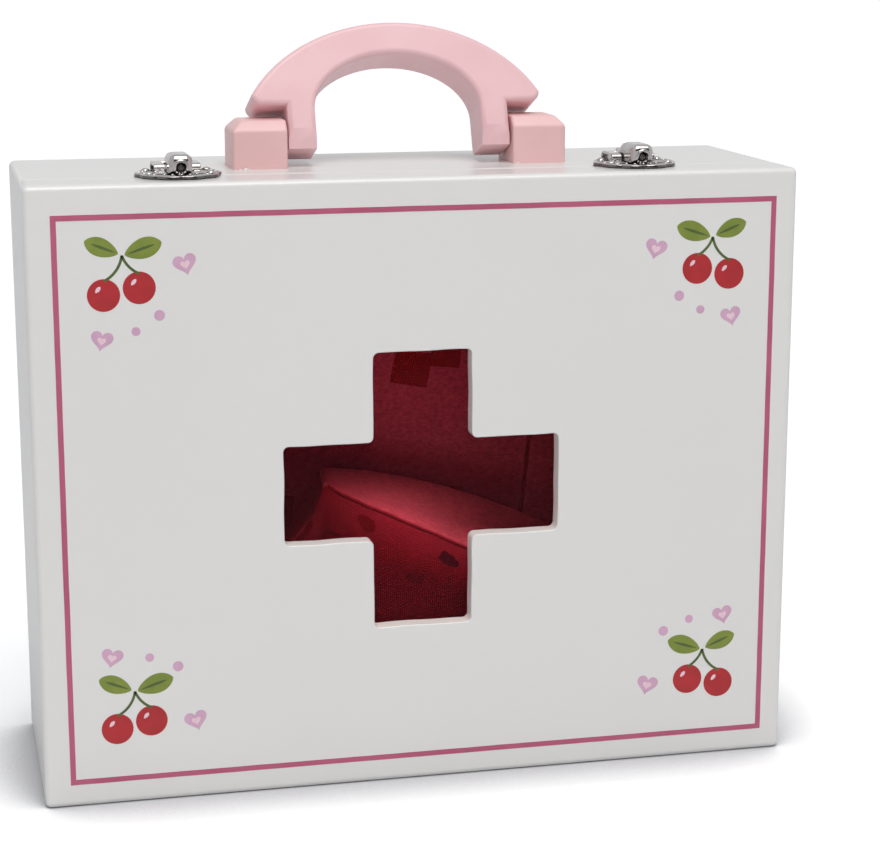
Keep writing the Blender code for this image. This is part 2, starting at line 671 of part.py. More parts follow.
def make_lug(sign, pin_z):
    """A lug for the hood's pin, with a wing that slopes down to the plate."""
    radius = LATCH_BARREL_RADIUS
    foot = PLATE_THICKNESS / 3
    outline = arc((LATCH_PIN_BACK, pin_z), radius, 0, math.pi, ROUND_STEPS // 2)
    outline += [(LATCH_PIN_BACK - radius, foot), (LATCH_PIN_BACK + radius, foot)]
    start, end = sign * LUG_INNER_X, sign * LUG_OUTER_X
    lug = prism(outline, min(start, end), max(start, end), "yzx")
    outer_face = [face for face in lug.faces if abs(face.calc_center_median().x - end) < TOUCH]
    pushed = bmesh.ops.extrude_face_region(lug, geom=outer_face)
    wing_foot = Vector((end, LATCH_PIN_BACK, foot))
    for part in pushed["geom"]:
        if isinstance(part, bmesh.types.BMVert):
            part.co = wing_foot.lerp(part.co, WING_END_SHARE)
            part.co.x += sign * LATCH_WING_WIDTH
    bmesh.ops.delete(lug, geom=outer_face, context="FACES_ONLY")
    return lug


def make_rear_plate(word, side, steel):
    """The tray's plate, with two lugs that hold the hood's pin."""
    name = f"latch_rear_plate_{word}"
    plate, holes = make_plate(name, steel, side, 1, REAR_NAILS)
    place = plate.location.copy()
    pin_z = LATCH_PIN_Z - PLATE_BOTTOM_Z
    lugs = [make_lug(sign, pin_z) for _, sign in SIDES]
    combine(plate, add_object(name + "_lugs", joined(lugs), steel, place), "UNION")
    reach = LUG_OUTER_X + SEAT_GAP
    bore = placed(rod(LATCH_PIN_RADIUS + SEAT_GAP, -reach, reach, "x"), 0, LATCH_PIN_BACK, pin_z)
    combine(plate, add_object(name + "_cutter", joined([bore] + holes), steel, place), "DIFFERENCE")
    shade_round(plate)
    end = LUG_OUTER_X
    pin = add_object(f"latch_pin_{word}", rod(LATCH_PIN_RADIUS, -end, end, "x", SMALL_ROUND_STEPS),
                     steel, (side * LATCH_X, LATCH_PIN_Y, LATCH_PIN_Z))
    shade_round(pin)


def ball_reach():
    """Distance from the latch pin forward to the ball's middle.

    The ball sits just behind the hood's front wall and is wider than the
    window in it, so that it cannot come forward until the hood is lifted.
    """
    half_window = HOOD_WINDOW_WIDTH / 2
    bulge = math.sqrt(BALL_RADIUS ** 2 - half_window ** 2)
    return HOOD_REACH - HOOD_SHEET - bulge - SEAT_GAP


def make_catch_plate(word, side, steel):
    """The lid's plate, with the ball that the hood closes over."""
    name = f"latch_catch_plate_{word}"
    plate, holes = make_plate(name, steel, side, -1, FRONT_NAILS)
    place = plate.location.copy()
    centre = LATCH_PIN_Z + BALL_LIFT - PLATE_BOTTOM_Z
    neck = math.asin(BALL_NECK_RADIUS / BALL_RADIUS)
    ball = arc((0, centre), BALL_RADIUS, math.pi / 2, neck - math.pi / 2, ROUND_STEPS // 2)
    foot = PLATE_THICKNESS / 3
    profile = [(0, centre + BALL_RADIUS)] + ball[1:] + [(BALL_NECK_RADIUS, foot), (0, foot)]
    post = placed(turned(profile, ROUND_STEPS), 0, LATCH_PIN_Y - ball_reach() - SEAM_Y)
    combine(plate, add_object(name + "_ball", post, steel, place), "UNION")
    combine(plate, add_object(name + "_cutter", joined(holes), steel, place), "DIFFERENCE")
    shade_round(plate)


def hood_profile():
    """Side view of the hood, from its back edge over the top to its nose."""
    tongue_top = LATCH_BARREL_RADIUS
    crown = arc((HOOD_NOSE - HOOD_REACH, tongue_top), (HOOD_NOSE, HOOD_RISE - tongue_top),
                math.pi / 2, math.pi, BEND_STEPS)
    rise = [(-HOOD_START, tongue_top), (-HOOD_SLOPE_END, HOOD_RISE)]
    return rise + crown + [(-HOOD_REACH, HOOD_BOTTOM), (-HOOD_START, HOOD_BOTTOM)]


def make_hasp(word, side, steel):
    """A pressed hood, open underneath, with a rolled tongue on the pin."""
    half = HOOD_WIDTH / 2
    bm = prism(hood_profile(), -half, half, "yzx")

    def is_open(part):
        under = all(v.co.z < HOOD_BOTTOM + TOUCH for v in part.verts)
        return under or all(v.co.y > -HOOD_START - TOUCH for v in part.verts)

    outline_edges = edges_at(bm, x=-half) + edges_at(bm, x=half)
    bevel(bm, [edge for edge in outline_edges if not is_open(edge)], HOOD_EDGE_RADIUS, CORNER_STEPS)
    bmesh.ops.delete(bm, geom=[face for face in bm.faces if is_open(face)], context="FACES")
    bmesh.ops.recalc_face_normals(bm, faces=bm.faces)
    place = (side * LATCH_X, LATCH_PIN_Y, LATCH_PIN_Z)
    hasp = add_object(f"latch_hasp_{word}", bm, steel, place)
    sheet = hasp.modifiers.new("Sheet", "SOLIDIFY")
    sheet.thickness = HOOD_SHEET
    sheet.offset = -1
    sheet.use_even_offset = True
    tongue_half = HOOD_TONGUE_WIDTH / 2
    radius = LATCH_BARREL_RADIUS
    tongue_low = radius - HOOD_SHEET
    tongue_end = HOOD_START + HOOD_SHEET
    roll = arc((0, 0), radius, math.pi - math.asin(tongue_low / radius), math.tau + math.pi / 2,
               ROUND_STEPS)
    roll = [(-tongue_end, radius - TOUCH), (-tongue_end, tongue_low + TOUCH)] + roll
    tongue = prism(roll, -tongue_half, tongue_half, "yzx")
    combine(hasp, add_object(f"latch_hasp_{word}_tongue", tongue, steel, place), "UNION")
    bore = rod(LATCH_PIN_RADIUS + SEAT_GAP, -tongue_half - CUT_OVERRUN, tongue_half + CUT_OVERRUN, "x")
    window_half = HOOD_WINDOW_WIDTH / 2
    arch = arc((0, HOOD_WINDOW_RISE - window_half), window_half, 0, math.pi, ROUND_STEPS // 2)
    arch += [(-window_half, HOOD_BOTTOM - CUT_OVERRUN), (window_half, HOOD_BOTTOM - CUT_OVERRUN)]
    window = prism(arch, -HOOD_REACH - CUT_OVERRUN, -HOOD_REACH + HOOD_SHEET + CUT_OVERRUN, "xzy")
    cutter = add_object(f"latch_hasp_{word}_cutter", joined([bore, window]), steel, place)
    combine(hasp, cutter, "DIFFERENCE")
    shade_round(hasp)


def make_nails(name, places, steel):
    """Round-headed nails that hold the plates down."""
    seat = PLATE_FLOOR_Z + SEAT_GAP
    dome = arc((0, 0), (NAIL_HEAD_RADIUS, NAIL_HEAD_HEIGHT), math.pi / 2, 0, DOME_STEPS)
    tip = TOP_Z - NAIL_LENGTH - seat
    profile = [(0, NAIL_HEAD_HEIGHT)] + dome[1:] + [(NAIL_RADIUS, 0), (NAIL_RADIUS, tip), (0, tip)]
    copies(name, turned(profile, SMALL_ROUND_STEPS), steel, places, seat)


def make_latches(steel):
    for word, side in SIDES:
        make_rear_plate(word, side, steel)
        make_catch_plate(word, side, steel)
        make_hasp(word, side, steel)
    make_nails("latch_nail_rear", REAR_NAILS, steel)
    make_nails("latch_nail_front", FRONT_NAILS, steel)


def make_cloth(cotton):
    """A folded cloth: its end view has rounded folds, its top slopes down."""
    front = BASE_SEAM_Y + CLOTH_FRONT_CLEARANCE
    back = front + CLOTH_THICKNESS
    floor = BOARD_THICKNESS + SEAT_GAP
    top = CLOTH_HIGH
    lower_front = front + CLOTH_ROUNDING
    outline = [(front, floor), (back, floor)]
    outline += arc((back - CLOTH_ROUNDING, top - CLOTH_ROUNDING), CLOTH_ROUNDING, 0, math.pi / 2,
                   BEND_STEPS)
    for share in reversed(FOLD_PITCH_SHARES):
        middle = lower_front + (back - CLOTH_ROUNDING - lower_front) * share
        outline.append((middle, top - CLOTH_FOLD_DEPTH))
    outline += arc((lower_front, top - CLOTH_ROUNDING), CLOTH_ROUNDING, math.pi / 2,
                   math.pi, BEND_STEPS)
    bm = prism(outline, CLOTH_LEFT, CLOTH_RIGHT, "yzx")
    fall = (CLOTH_HIGH - CLOTH_LOW) / (CLOTH_RIGHT - CLOTH_LEFT)
    for vert in bm.verts:
        if vert.co.z > floor + TOUCH:
            vert.co.z -= fall * (vert.co.x - CLOTH_LEFT)
    add_object("folded_cloth", bm, cotton)


def main():
    clear_scene()
    white_paint = make_material("white_paint", (0.83, 0.83, 0.81), 0.3)
    pink_wood = make_material("pink_wood", (0.79, 0.50, 0.52), 0.45)
    chrome = make_material("chromed_steel", (0.62, 0.61, 0.61), 0.2, 1.0)
    zinc = make_material("zinc_steel", (0.55, 0.55, 0.55), 0.35, 1.0)
    red_acrylic = make_material("red_acrylic", (0.45, 0.01, 0.03), 0.1)
    cotton = make_material("white_cotton", (0.85, 0.80, 0.78), 0.9)
    make_front_panel(white_paint)
    make_window_pane(red_acrylic)
    make_lid(white_paint)
    make_tray(white_paint)
    make_hinges(zinc)
    for word, side in SIDES:
        make_block(word, side, pink_wood, zinc)
    make_block_screws(zinc)
    make_grip(pink_wood)
    make_latches(chrome)
    make_cloth(cotton)


main()
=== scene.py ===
# %% [markdown]
# # A toy doctor case, dressed for its picture
#
# The working parts of the case (lid, tray, handle, latches, hinges) come from a
# fixed frame. This file gives them their finished shapes, paint, metal and
# cloth. Every cell builds one piece or one finish, in the order in which a
# workshop would make it, and prints what it made.

# %% Load the fixed frame
import json
import math

import bmesh
import bpy
from mathutils import Matrix, Vector, noise

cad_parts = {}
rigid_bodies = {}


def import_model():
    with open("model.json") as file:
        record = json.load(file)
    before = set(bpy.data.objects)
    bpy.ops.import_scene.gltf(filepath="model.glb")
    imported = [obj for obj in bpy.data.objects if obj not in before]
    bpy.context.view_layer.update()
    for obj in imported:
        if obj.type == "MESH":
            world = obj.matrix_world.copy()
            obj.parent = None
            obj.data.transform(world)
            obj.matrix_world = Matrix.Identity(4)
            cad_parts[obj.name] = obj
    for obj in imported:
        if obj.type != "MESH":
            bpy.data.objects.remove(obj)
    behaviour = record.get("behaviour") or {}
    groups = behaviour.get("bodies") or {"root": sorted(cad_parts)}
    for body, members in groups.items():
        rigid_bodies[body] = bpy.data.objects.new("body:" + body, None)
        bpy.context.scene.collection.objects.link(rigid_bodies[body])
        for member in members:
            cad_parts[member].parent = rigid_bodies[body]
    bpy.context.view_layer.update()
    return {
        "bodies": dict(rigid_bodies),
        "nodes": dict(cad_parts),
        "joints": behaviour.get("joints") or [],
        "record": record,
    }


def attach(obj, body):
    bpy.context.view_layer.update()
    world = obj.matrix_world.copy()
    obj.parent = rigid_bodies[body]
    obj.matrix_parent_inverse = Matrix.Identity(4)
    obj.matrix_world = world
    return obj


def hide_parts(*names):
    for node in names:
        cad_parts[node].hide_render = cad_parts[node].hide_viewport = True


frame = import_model()
MM = 0.001

# %% [markdown]
# ## Camera
#
# The picture was taken with a fairly long lens from the front left, a little
# above the case. The place, the turn and the focal length were worked out from
# the edges of the box, so they are plain values here.

# %% Camera
camera_data = bpy.data.cameras.new("picture_camera")
camera_data.lens = 91.662
camera = bpy.data.objects.new("picture_camera", camera_data)
camera.location = (-0.156441, -0.728733, 0.273968)
camera.rotation_euler = (math.pi / 2 - 0.216596, 0, -0.230603)
bpy.context.scene.collection.objects.link(camera)
bpy.context.scene.camera = camera
print("camera at", tuple(round(value, 3) for value in camera.location))

# %% [markdown]
# ## Helpers for shapes
#
# Each piece starts as a bmesh: a cube, a circle or a few points. The helpers
# below cut it, join it, soften its edges and turn it into an object that rides
# on a body of the frame. Sizes are written in millimetres and turned into
# metres in the helpers, because that is how a maker thinks of them.


# %% Shape helpers
def placed(name, data):
    """Put a new object with this data into the scene."""
    item = bpy.data.objects.new(name, data)
    bpy.context.scene.collection.objects.link(item)
    return item


def meshed(name, bm):
    """Turn a bmesh into a mesh and free it."""
    mesh = bpy.data.meshes.new(name)
    bm.to_mesh(mesh)
    bm.free()
    return mesh


def everything(bm):
    return bm.verts[:] + bm.edges[:] + bm.faces[:]


def closed(bm, edges):
    """Fill the open rims among some edges and turn every face outwards."""
    bmesh.ops.holes_fill(bm, edges=edges)
    bmesh.ops.recalc_face_normals(bm, faces=bm.faces)
    return bm


def open_edges(bm):
    return [edge for edge in bm.edges if edge.is_boundary]


def planed(bm, place, normal):
    """Cut off what lies beyond a plane through a place in millimetres."""
    cut = bmesh.ops.bisect_plane(bm, geom=everything(bm), plane_co=Vector(place) * MM,
                                 plane_no=normal, clear_outer=True)
    return closed(bm, [part for part in cut["geom_cut"] if isinstance(part, bmesh.types.BMEdge)])


def block(low, high):
    """A box between two corners given in millimetres."""
    low, high = Vector(low) * MM, Vector(high) * MM
    bm = bmesh.new()
    bmesh.ops.create_cube(bm, size=1)
    size = Matrix.Diagonal((*(high - low), 1))
    bmesh.ops.transform(bm, matrix=Matrix.Translation((low + high) / 2) @ size, verts=bm.verts)
    return bm


def disc(across, up, steps, centre=(0, 0), plane="xz"):
    """A filled ellipse, flat in the named plane, in millimetres."""
    bm = bmesh.new()
    bmesh.ops.create_circle(bm, cap_ends=True, radius=MM, segments=steps)
    bmesh.ops.transform(bm, matrix=Matrix.Diagonal((across, up, 1, 1)), verts=bm.verts)
    bmesh.ops.translate(bm, vec=(centre[0] * MM, centre[1] * MM, 0), verts=bm.verts)
    if plane == "xz":
        bmesh.ops.rotate(bm, verts=bm.verts, matrix=Matrix.Rotation(math.pi / 2, 3, "X"))
    return bm


def pushed(bm, faces, vector):
    """Extrude faces along a vector in millimetres and give the new vertices."""
    grown = bmesh.ops.extrude_face_region(bm, geom=faces)["geom"]
    verts = [part for part in grown if isinstance(part, bmesh.types.BMVert)]
    bmesh.ops.translate(bm, vec=Vector(vector) * MM, verts=verts)
    return verts


def thickened(bm, vector):
    """Turn a flat shape into a slab."""
    pushed(bm, bm.faces[:], vector)
    bmesh.ops.recalc_face_normals(bm, faces=bm.faces)
    return bm


def soften(bm, edges, width, segments):
    """Round (or with one segment chamfer) edges by a width in millimetres."""
    bmesh.ops.bevel(bm, geom=list(dict.fromkeys(edges)), offset=width * MM, segments=segments, profile=0.5,
                    affect="EDGES", material=-1, clamp_overlap=True)
    return bm


def edges_where(bm, test):
    """Edges whose two ends both pass a test on their place in millimetres."""
    return [edge for edge in bm.edges if all(test(vert.co / MM) for vert in edge.verts)]


def near(value, wanted, slack=0.01):
    return abs(value - wanted) < slack


def moved(bm, vector=(0, 0, 0), turn=None):
    if turn is not None:
        bmesh.ops.transform(bm, matrix=turn, verts=bm.verts)
    bmesh.ops.translate(bm, vec=Vector(vector) * MM, verts=bm.verts)
    return bm


def lathed(profile, steps):
    """Spin a chain of (radius, height) points round Z, in millimetres."""
    bm = bmesh.new()
    chain = [bm.verts.new((radius * MM, 0, height * MM)) for radius, height in profile]
    edges = [bm.edges.new(pair) for pair in zip(chain, chain[1:])]
    bmesh.ops.spin(bm, geom=chain + edges, axis=(0, 0, 1), cent=(0, 0, 0),
                   angle=math.tau, steps=steps, use_merge=True)
    bmesh.ops.remove_doubles(bm, verts=bm.verts, dist=0.001 * MM)
    bmesh.ops.recalc_face_normals(bm, faces=bm.faces)
    return bm


def arc(centre, radius, start, end, steps):
    """Points along part of an ellipse, from one angle to another."""
    turns = [start + (end - start) * step / steps for step in range(steps + 1)]
    return [(centre[0] + radius[0] * math.cos(turn), centre[1] + radius[1] * math.sin(turn))
            for turn in turns]


def outlined(points, low, high, frame):
    """A flat face inside an outline, extruded from low to high.

    frame names the axes of the first coordinate, the second and the extrusion.
    """
    first, second, third = ("xyz".index(letter) for letter in frame)
    bm = bmesh.new()
    ring = []
    for across, up in points:
        place = [0, 0, 0]
        place[first], place[second], place[third] = across * MM, up * MM, low * MM
        ring.append(bm.verts.new(place))
    bm.faces.new(ring)
    shift = [0, 0, 0]
    shift[third] = high - low
    return thickened(bm, shift)


def together(*shapes):
    """Several separate shapes in one bmesh."""
    whole = bmesh.new()
    for shape in shapes:
        mesh = meshed("part", shape)
        whole.from_mesh(mesh)
        bpy.data.meshes.remove(mesh)
    return whole


def combined(shape, tool, operation="DIFFERENCE"):
    """Cut a tool from a shape, or join the two, with an exact Boolean."""
    items = [placed("blank", meshed("blank", bm)) for bm in (shape, tool)]
    cut = items[0].modifiers.new("cut", "BOOLEAN")
    cut.operation = operation
    cut.solver = "EXACT"
    cut.use_self = True
    cut.object = items[1]
    result = bmesh.new()
    result.from_object(items[0], bpy.context.evaluated_depsgraph_get())
    for item in items:
        mesh = item.data
        bpy.data.objects.remove(item)
        bpy.data.meshes.remove(mesh)
    return result


print("shape helpers ready")


# %% Turning a bmesh into a finished piece
def finished(name, bm, material, body, stands_for=(), smooth=40, weighted=True):
    """Make the object, shade it, give it its material and let it ride on a body."""
    mesh = meshed(name, bm)
    mesh.shade_smooth()
    mesh.set_sharp_from_angle(angle=math.radians(smooth))
    mesh.materials.append(material)
    piece = placed(name, mesh)
    if weighted:
        normals = piece.modifiers.new("even_normals", "WEIGHTED_NORMAL")
        normals.keep_sharp = True
        normals.weight = 100
    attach(piece, body)
    if stands_for:
        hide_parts(*stands_for)
    print(f"{name}: {len(mesh.polygons)} faces, rides on {body}")
    return piece


# %% [markdown]
# ## Shared surface effects
#
# Real finishes are never one flat value. Lacquer has a fine orange peel and a
# slow waviness, print has soft mottling, metal has tiny scratches and cloth has
# a weave. Each effect is a node group with named inputs, so that several
# materials can use it at their own strength. Texture sizes are in metres,
# because the patterns read Object coordinates.


# %% Node helpers
def new_group(name, inputs, outputs):
    """An empty shader node group with named sockets."""
    group = bpy.data.node_groups.new(name, "ShaderNodeTree")
    kinds = {"value": "NodeSocketFloat", "vector": "NodeSocketVector", "colour": "NodeSocketColor"}
    for label, kind, default in inputs:
        socket = group.interface.new_socket(label, in_out="INPUT", socket_type=kinds[kind])
        if default is not None:
            socket.default_value = default
    for label, kind in outputs:
        group.interface.new_socket(label, in_out="OUTPUT", socket_type=kinds[kind])
    return group


class Wiring:
    """Short words for adding and joining nodes in one tree."""

    def __init__(self, tree):
        self.tree = tree

    def add(self, kind, **settings):
        node = self.tree.nodes.new(kind)
        for key, value in settings.items():
            setattr(node, key, value)
        return node

    def join(self, source, target):
        self.tree.links.new(source, target)

    def feed(self, socket, value):
        if isinstance(value, bpy.types.NodeSocket):
            self.join(value, socket)
        else:
            socket.default_value = value

    def math(self, operation, first, second=None, third=None):
        node = self.add("ShaderNodeMath", operation=operation)
        for socket, value in zip(node.inputs, (first, second, third)):
            if value is not None:
                self.feed(socket, value)
        return node.outputs[0]

    def mix(self, factor, first, second):
        node = self.add("ShaderNodeMix", data_type="RGBA", clamp_factor=True)
        self.feed(node.inputs[0], factor)
        self.feed(node.inputs[6], first)
        self.feed(node.inputs[7], second)
        return node.outputs[2]

    def noise(self, vector, scale, detail=2.0, roughness=0.5):
        node = self.add("ShaderNodeTexNoise")
        self.feed(node.inputs["Vector"], vector)
        self.feed(node.inputs["Scale"], scale)
        node.inputs["Detail"].default_value = detail
        node.inputs["Roughness"].default_value = roughness
        return node.outputs[0]

    def range(self, value, low, high, start=0.0, end=1.0):
        node = self.add("ShaderNodeMapRange", interpolation_type="SMOOTHSTEP")
        for socket, amount in zip(node.inputs, (value, low, high, start, end)):
            self.feed(socket, amount)
        return node.outputs[0]

    def group(self, group, **inputs):
        node = self.add("ShaderNodeGroup", node_tree=group)
        for key, value in inputs.items():
            self.feed(node.inputs[key.replace("_", " ")], value)
        return node

    def split(self, vector):
        node = self.add("ShaderNodeSeparateXYZ")
        self.feed(node.inputs[0], vector)
        return node.outputs


print("node helpers ready")

# %% Effect: sprayed lacquer
lacquer = new_group("sprayed_lacquer",
                    [("Place", "vector", None), ("Peel size", "value", 700.0),
                     ("Wave size", "value", 45.0), ("Peel share", "value", 0.35)],
                    [("Height", "value"), ("Gloss change", "value")])
w = Wiring(lacquer)
ends = w.add("NodeGroupInput").outputs
peel = w.noise(ends["Place"], ends["Peel size"], 1.0)
wave = w.noise(ends["Place"], ends["Wave size"], 2.0)
peel_part = w.math("MULTIPLY", peel, ends["Peel share"])
smear = w.noise(ends["Place"], 90.0, 4.0, 0.6)
group_end = w.add("NodeGroupOutput")
w.join(w.math("ADD", peel_part, wave), group_end.inputs["Height"])
w.join(w.range(smear, 0.3, 0.7, -1.0, 1.0), group_end.inputs["Gloss change"])
print("effect made:", lacquer.name)

# %% Effect: uneven colour with dust specks
patina = new_group("uneven_colour",
                   [("Place", "vector", None), ("Colour", "colour", (1, 1, 1, 1)),
                    ("Shade", "colour", (0.9, 0.9, 0.9, 1)), ("Cloud size", "value", 25.0),
                    ("Cloud", "value", 0.5), ("Specks", "value", 0.3)],
                   [("Colour", "colour")])
w = Wiring(patina)
ends = w.add("NodeGroupInput").outputs
cloud = w.range(w.noise(ends["Place"], ends["Cloud size"], 3.0, 0.55), 0.35, 0.65)
clouded = w.mix(w.math("MULTIPLY", cloud, ends["Cloud"]), ends["Colour"], ends["Shade"])
cells = w.add("ShaderNodeTexVoronoi", feature="F1")
w.join(ends["Place"], cells.inputs["Vector"])
cells.inputs["Scale"].default_value = 160.0
speck_size = w.range(w.noise(ends["Place"], 60.0), 0.62, 0.75, 0.0, 0.07)
speck = w.math("LESS_THAN", cells.outputs["Distance"], speck_size)
speck = w.math("MULTIPLY", speck, ends["Specks"])
group_end = w.add("NodeGroupOutput")
w.join(w.mix(speck, clouded, (0.32, 0.28, 0.25, 1)), group_end.inputs["Colour"])
print("effect made:", patina.name)

# %% Effect: wood grain under thin paint
grain = new_group("wood_grain",
                  [("Place", "vector", None), ("Along", "value", 8.0), ("Across", "value", 260.0)],
                  [("Height", "value"), ("Streak", "value")])
w = Wiring(grain)
ends = w.add("NodeGroupInput").outputs
stretch = w.add("ShaderNodeCombineXYZ")
x, y, z = w.split(ends["Place"])
w.join(w.math("MULTIPLY", x, ends["Along"]), stretch.inputs[0])
w.join(w.math("MULTIPLY", y, ends["Across"]), stretch.inputs[1])
w.join(w.math("MULTIPLY", z, ends["Across"]), stretch.inputs[2])
streak = w.noise(stretch.outputs[0], 1.0, 4.0, 0.6)
group_end = w.add("NodeGroupOutput")
w.join(streak, group_end.inputs["Height"])
w.join(w.range(streak, 0.35, 0.68), group_end.inputs["Streak"])
print("effect made:", grain.name)

# %% Effect: plain weave
weave = new_group("plain_weave",
                  [("Place", "vector", None), ("Threads per metre", "value", 1700.0)],
                  [("Height", "value"), ("Gap", "value"), ("Thread tone", "value")])
w = Wiring(weave)
ends = w.add("NodeGroupInput").outputs
x, y, z = w.split(ends["Place"])
across = w.math("MULTIPLY", x, ends["Threads per metre"])
along = w.math("MULTIPLY", y, ends["Threads per metre"])
warp = w.math("ABSOLUTE", w.math("SINE", w.math("MULTIPLY", across, math.pi)))
weft = w.math("ABSOLUTE", w.math("SINE", w.math("MULTIPLY", along, math.pi)))
step = w.math("ADD", w.math("FLOOR", across), w.math("FLOOR", along))
over = w.math("ABSOLUTE", w.math("MODULO", step, 2.0))
warp_top = w.math("MULTIPLY", warp, w.math("MULTIPLY_ADD", over, 0.45, 0.55))
weft_top = w.math("MULTIPLY", weft, w.math("MULTIPLY_ADD", over, -0.45, 1.0))
height = w.math("MAXIMUM", warp_top, weft_top)
thread = w.add("ShaderNodeCombineXYZ")
w.join(w.math("FLOOR", across), thread.inputs[0])
w.join(w.math("MULTIPLY", w.math("FLOOR", along), 7.0), thread.inputs[1])
tone = w.noise(thread.outputs[0], 0.37, 2.0)
group_end = w.add("NodeGroupOutput")
w.join(height, group_end.inputs["Height"])
w.join(w.range(height, 0.25, 0.75, 1.0, 0.0), group_end.inputs["Gap"])
w.join(tone, group_end.inputs["Thread tone"])
print("effect made:", weave.name)

# %% Effect: handled metal
handled = new_group("handled_metal",
                    [("Place", "vector", None), ("Scratch size", "value", 900.0)],
                    [("Smudge", "value"), ("Height", "value")])
w = Wiring(handled)
ends = w.add("NodeGroupInput").outputs
smudge = w.range(w.noise(ends["Place"], 220.0, 5.0, 0.65), 0.3, 0.75)
fine = w.noise(ends["Place"], ends["Scratch size"], 3.0, 0.7)
group_end = w.add("NodeGroupOutput")
w.join(smudge, group_end.inputs["Smudge"])
w.join(fine, group_end.inputs["Height"])
print("effect made:", handled.name)

# %% [markdown]
# ## Floor, background and light
#
# The case stands on a white sweep under soft studio light. The floor keeps a
# faint shadow: it is a matt white surface, with a little light of its own that
# only the camera sees, so that it reads as white without more light on the
# case. Close to the case, where little of the sky reaches it, the floor's matt
# colour is painted darker, a painted contact shadow, and that light fades. Two
# wide suns stand for the ceiling and for the light from the front. Two
# softboxes give the metal its highlights, and a dark flag that only reflections
# see gives it its dark bands.

# %% Floor
floor_shape = bmesh.new()
bmesh.ops.create_grid(floor_shape, x_segments=8, y_segments=8, size=40)
floor = placed("studio_floor", meshed("studio_floor", floor_shape))
white_floor = bpy.data.materials.new("white_floor")
white_floor.use_nodes = True
w = Wiring(white_floor.node_tree)
w.tree.nodes.clear()
matt = w.add("ShaderNodeBsdfDiffuse")
glow = w.add("ShaderNodeEmission")
glow.inputs["Color"].default_value = (1, 1, 1, 1)
rays = w.add("ShaderNodeLightPath").outputs
seen = w.math("MAXIMUM", rays["Is Camera Ray"], rays["Is Transmission Ray"])
nearby = w.add("ShaderNodeAmbientOcclusion", samples=8)
nearby.inputs["Distance"].default_value = 0.05
open_sky = w.range(nearby.outputs["AO"], 0.46, 0.90)
# Painted contact shadow: the matt colour is darker, and the camera's glow fades, where the case is close
# by.
w.join(w.mix(open_sky, (0.56, 0.56, 0.58, 1), (0.855, 0.855, 0.86, 1)), matt.inputs["Color"])
w.join(w.math("MULTIPLY", w.math("MULTIPLY", seen, open_sky), 0.36), glow.inputs["Strength"])
both = w.add("ShaderNodeAddShader")
w.join(matt.outputs[0], both.inputs[0])
w.join(glow.outputs[0], both.inputs[1])
w.join(both.outputs[0], w.add("ShaderNodeOutputMaterial").inputs["Surface"])
floor.data.materials.append(white_floor)
print("floor made, 80 m across")

# %% World
world = bpy.data.worlds.new("white_studio")
world.use_nodes = True
bpy.context.scene.world = world
w = Wiring(world.node_tree)
w.tree.nodes.clear()
plain = w.add("ShaderNodeBackground")
plain.inputs["Color"].default_value = (0.92, 0.95, 1.0, 1)
plain.inputs["Strength"].default_value = 0.345
white = w.add("ShaderNodeBackground")
white.inputs["Color"].default_value = (1, 1, 1, 1)
white.inputs["Strength"].default_value = 1.0
rays = w.add("ShaderNodeLightPath").outputs
seen = w.math("MAXIMUM", rays["Is Camera Ray"], rays["Is Transmission Ray"])
seen = w.math("MAXIMUM", seen, w.math("MULTIPLY", rays["Is Glossy Ray"], 0.6))
choose = w.add("ShaderNodeMixShader")
w.join(seen, choose.inputs[0])
w.join(plain.outputs[0], choose.inputs[1])
w.join(white.outputs[0], choose.inputs[2])
w.join(choose.outputs[0], w.add("ShaderNodeOutputWorld").inputs["Surface"])
bpy.context.scene.view_settings.view_transform = "Standard"
print("world made")


# %% Lamps
def lamp(name, kind, place, target, energy, **settings):
    data = bpy.data.lights.new(name, kind)
    data.energy = energy
    for key, value in settings.items():
        setattr(data, key, value)
    item = placed(name, data)
    item.location = place
    item.rotation_euler = (Vector(target) - Vector(place)).to_track_quat("-Z", "Y").to_euler()
    return item


lamp("ceiling_light", "SUN", (0.02, -0.42, 1.0), (0, 0, 0), 1.58, angle=math.radians(40),
     color=(1.0, 0.99, 0.98))
lamp("front_light", "SUN", (-0.1, -1.0, 0.08), (0, 0, 0), 0.12, angle=math.radians(22),
     color=(1.0, 0.95, 0.85))
lamp("top_softbox", "AREA", (-0.05, -0.5, 0.72), (0, 0, 0.15), 0.8, shape="RECTANGLE",
     size=0.5, size_y=0.14, color=(1.0, 0.96, 0.88))
lamp("left_softbox", "AREA", (-0.55, -0.6, 0.55), (0, 0, 0.15), 0.12, shape="RECTANGLE",
     size=0.16, size_y=0.16)

# %% Dark flag
flag_shape = bmesh.new()
bmesh.ops.create_grid(flag_shape, x_segments=4, y_segments=4, size=0.5)
upright = Matrix.Rotation(math.pi / 2, 4, "X") @ Matrix.Diagonal((5, 2.2, 1, 1))
bmesh.ops.transform(flag_shape, matrix=upright, verts=flag_shape.verts)
bmesh.ops.translate(flag_shape, vec=(0, -2.4, 1.45), verts=flag_shape.verts)
flag = placed("dark_flag", meshed("dark_flag", flag_shape))
flag.visible_camera = False
flag.visible_diffuse = False
flag.visible_shadow = False
black_cloth = bpy.data.materials.new("black_cloth")
black_cloth.use_nodes = True
flag_shader = black_cloth.node_tree.nodes["Principled BSDF"]
flag_shader.inputs["Base Color"].default_value = (0.03, 0.03, 0.03, 1)
flag.data.materials.append(black_cloth)

# %% [markdown]
# ## Paints, metals, plastic and cloth
#
# The case is sprayed with a white satin lacquer, the handle with a pink one.
# Constant values such as metallic or coat are set on the shader's own sockets.
# Only what changes over the surface comes from nodes.


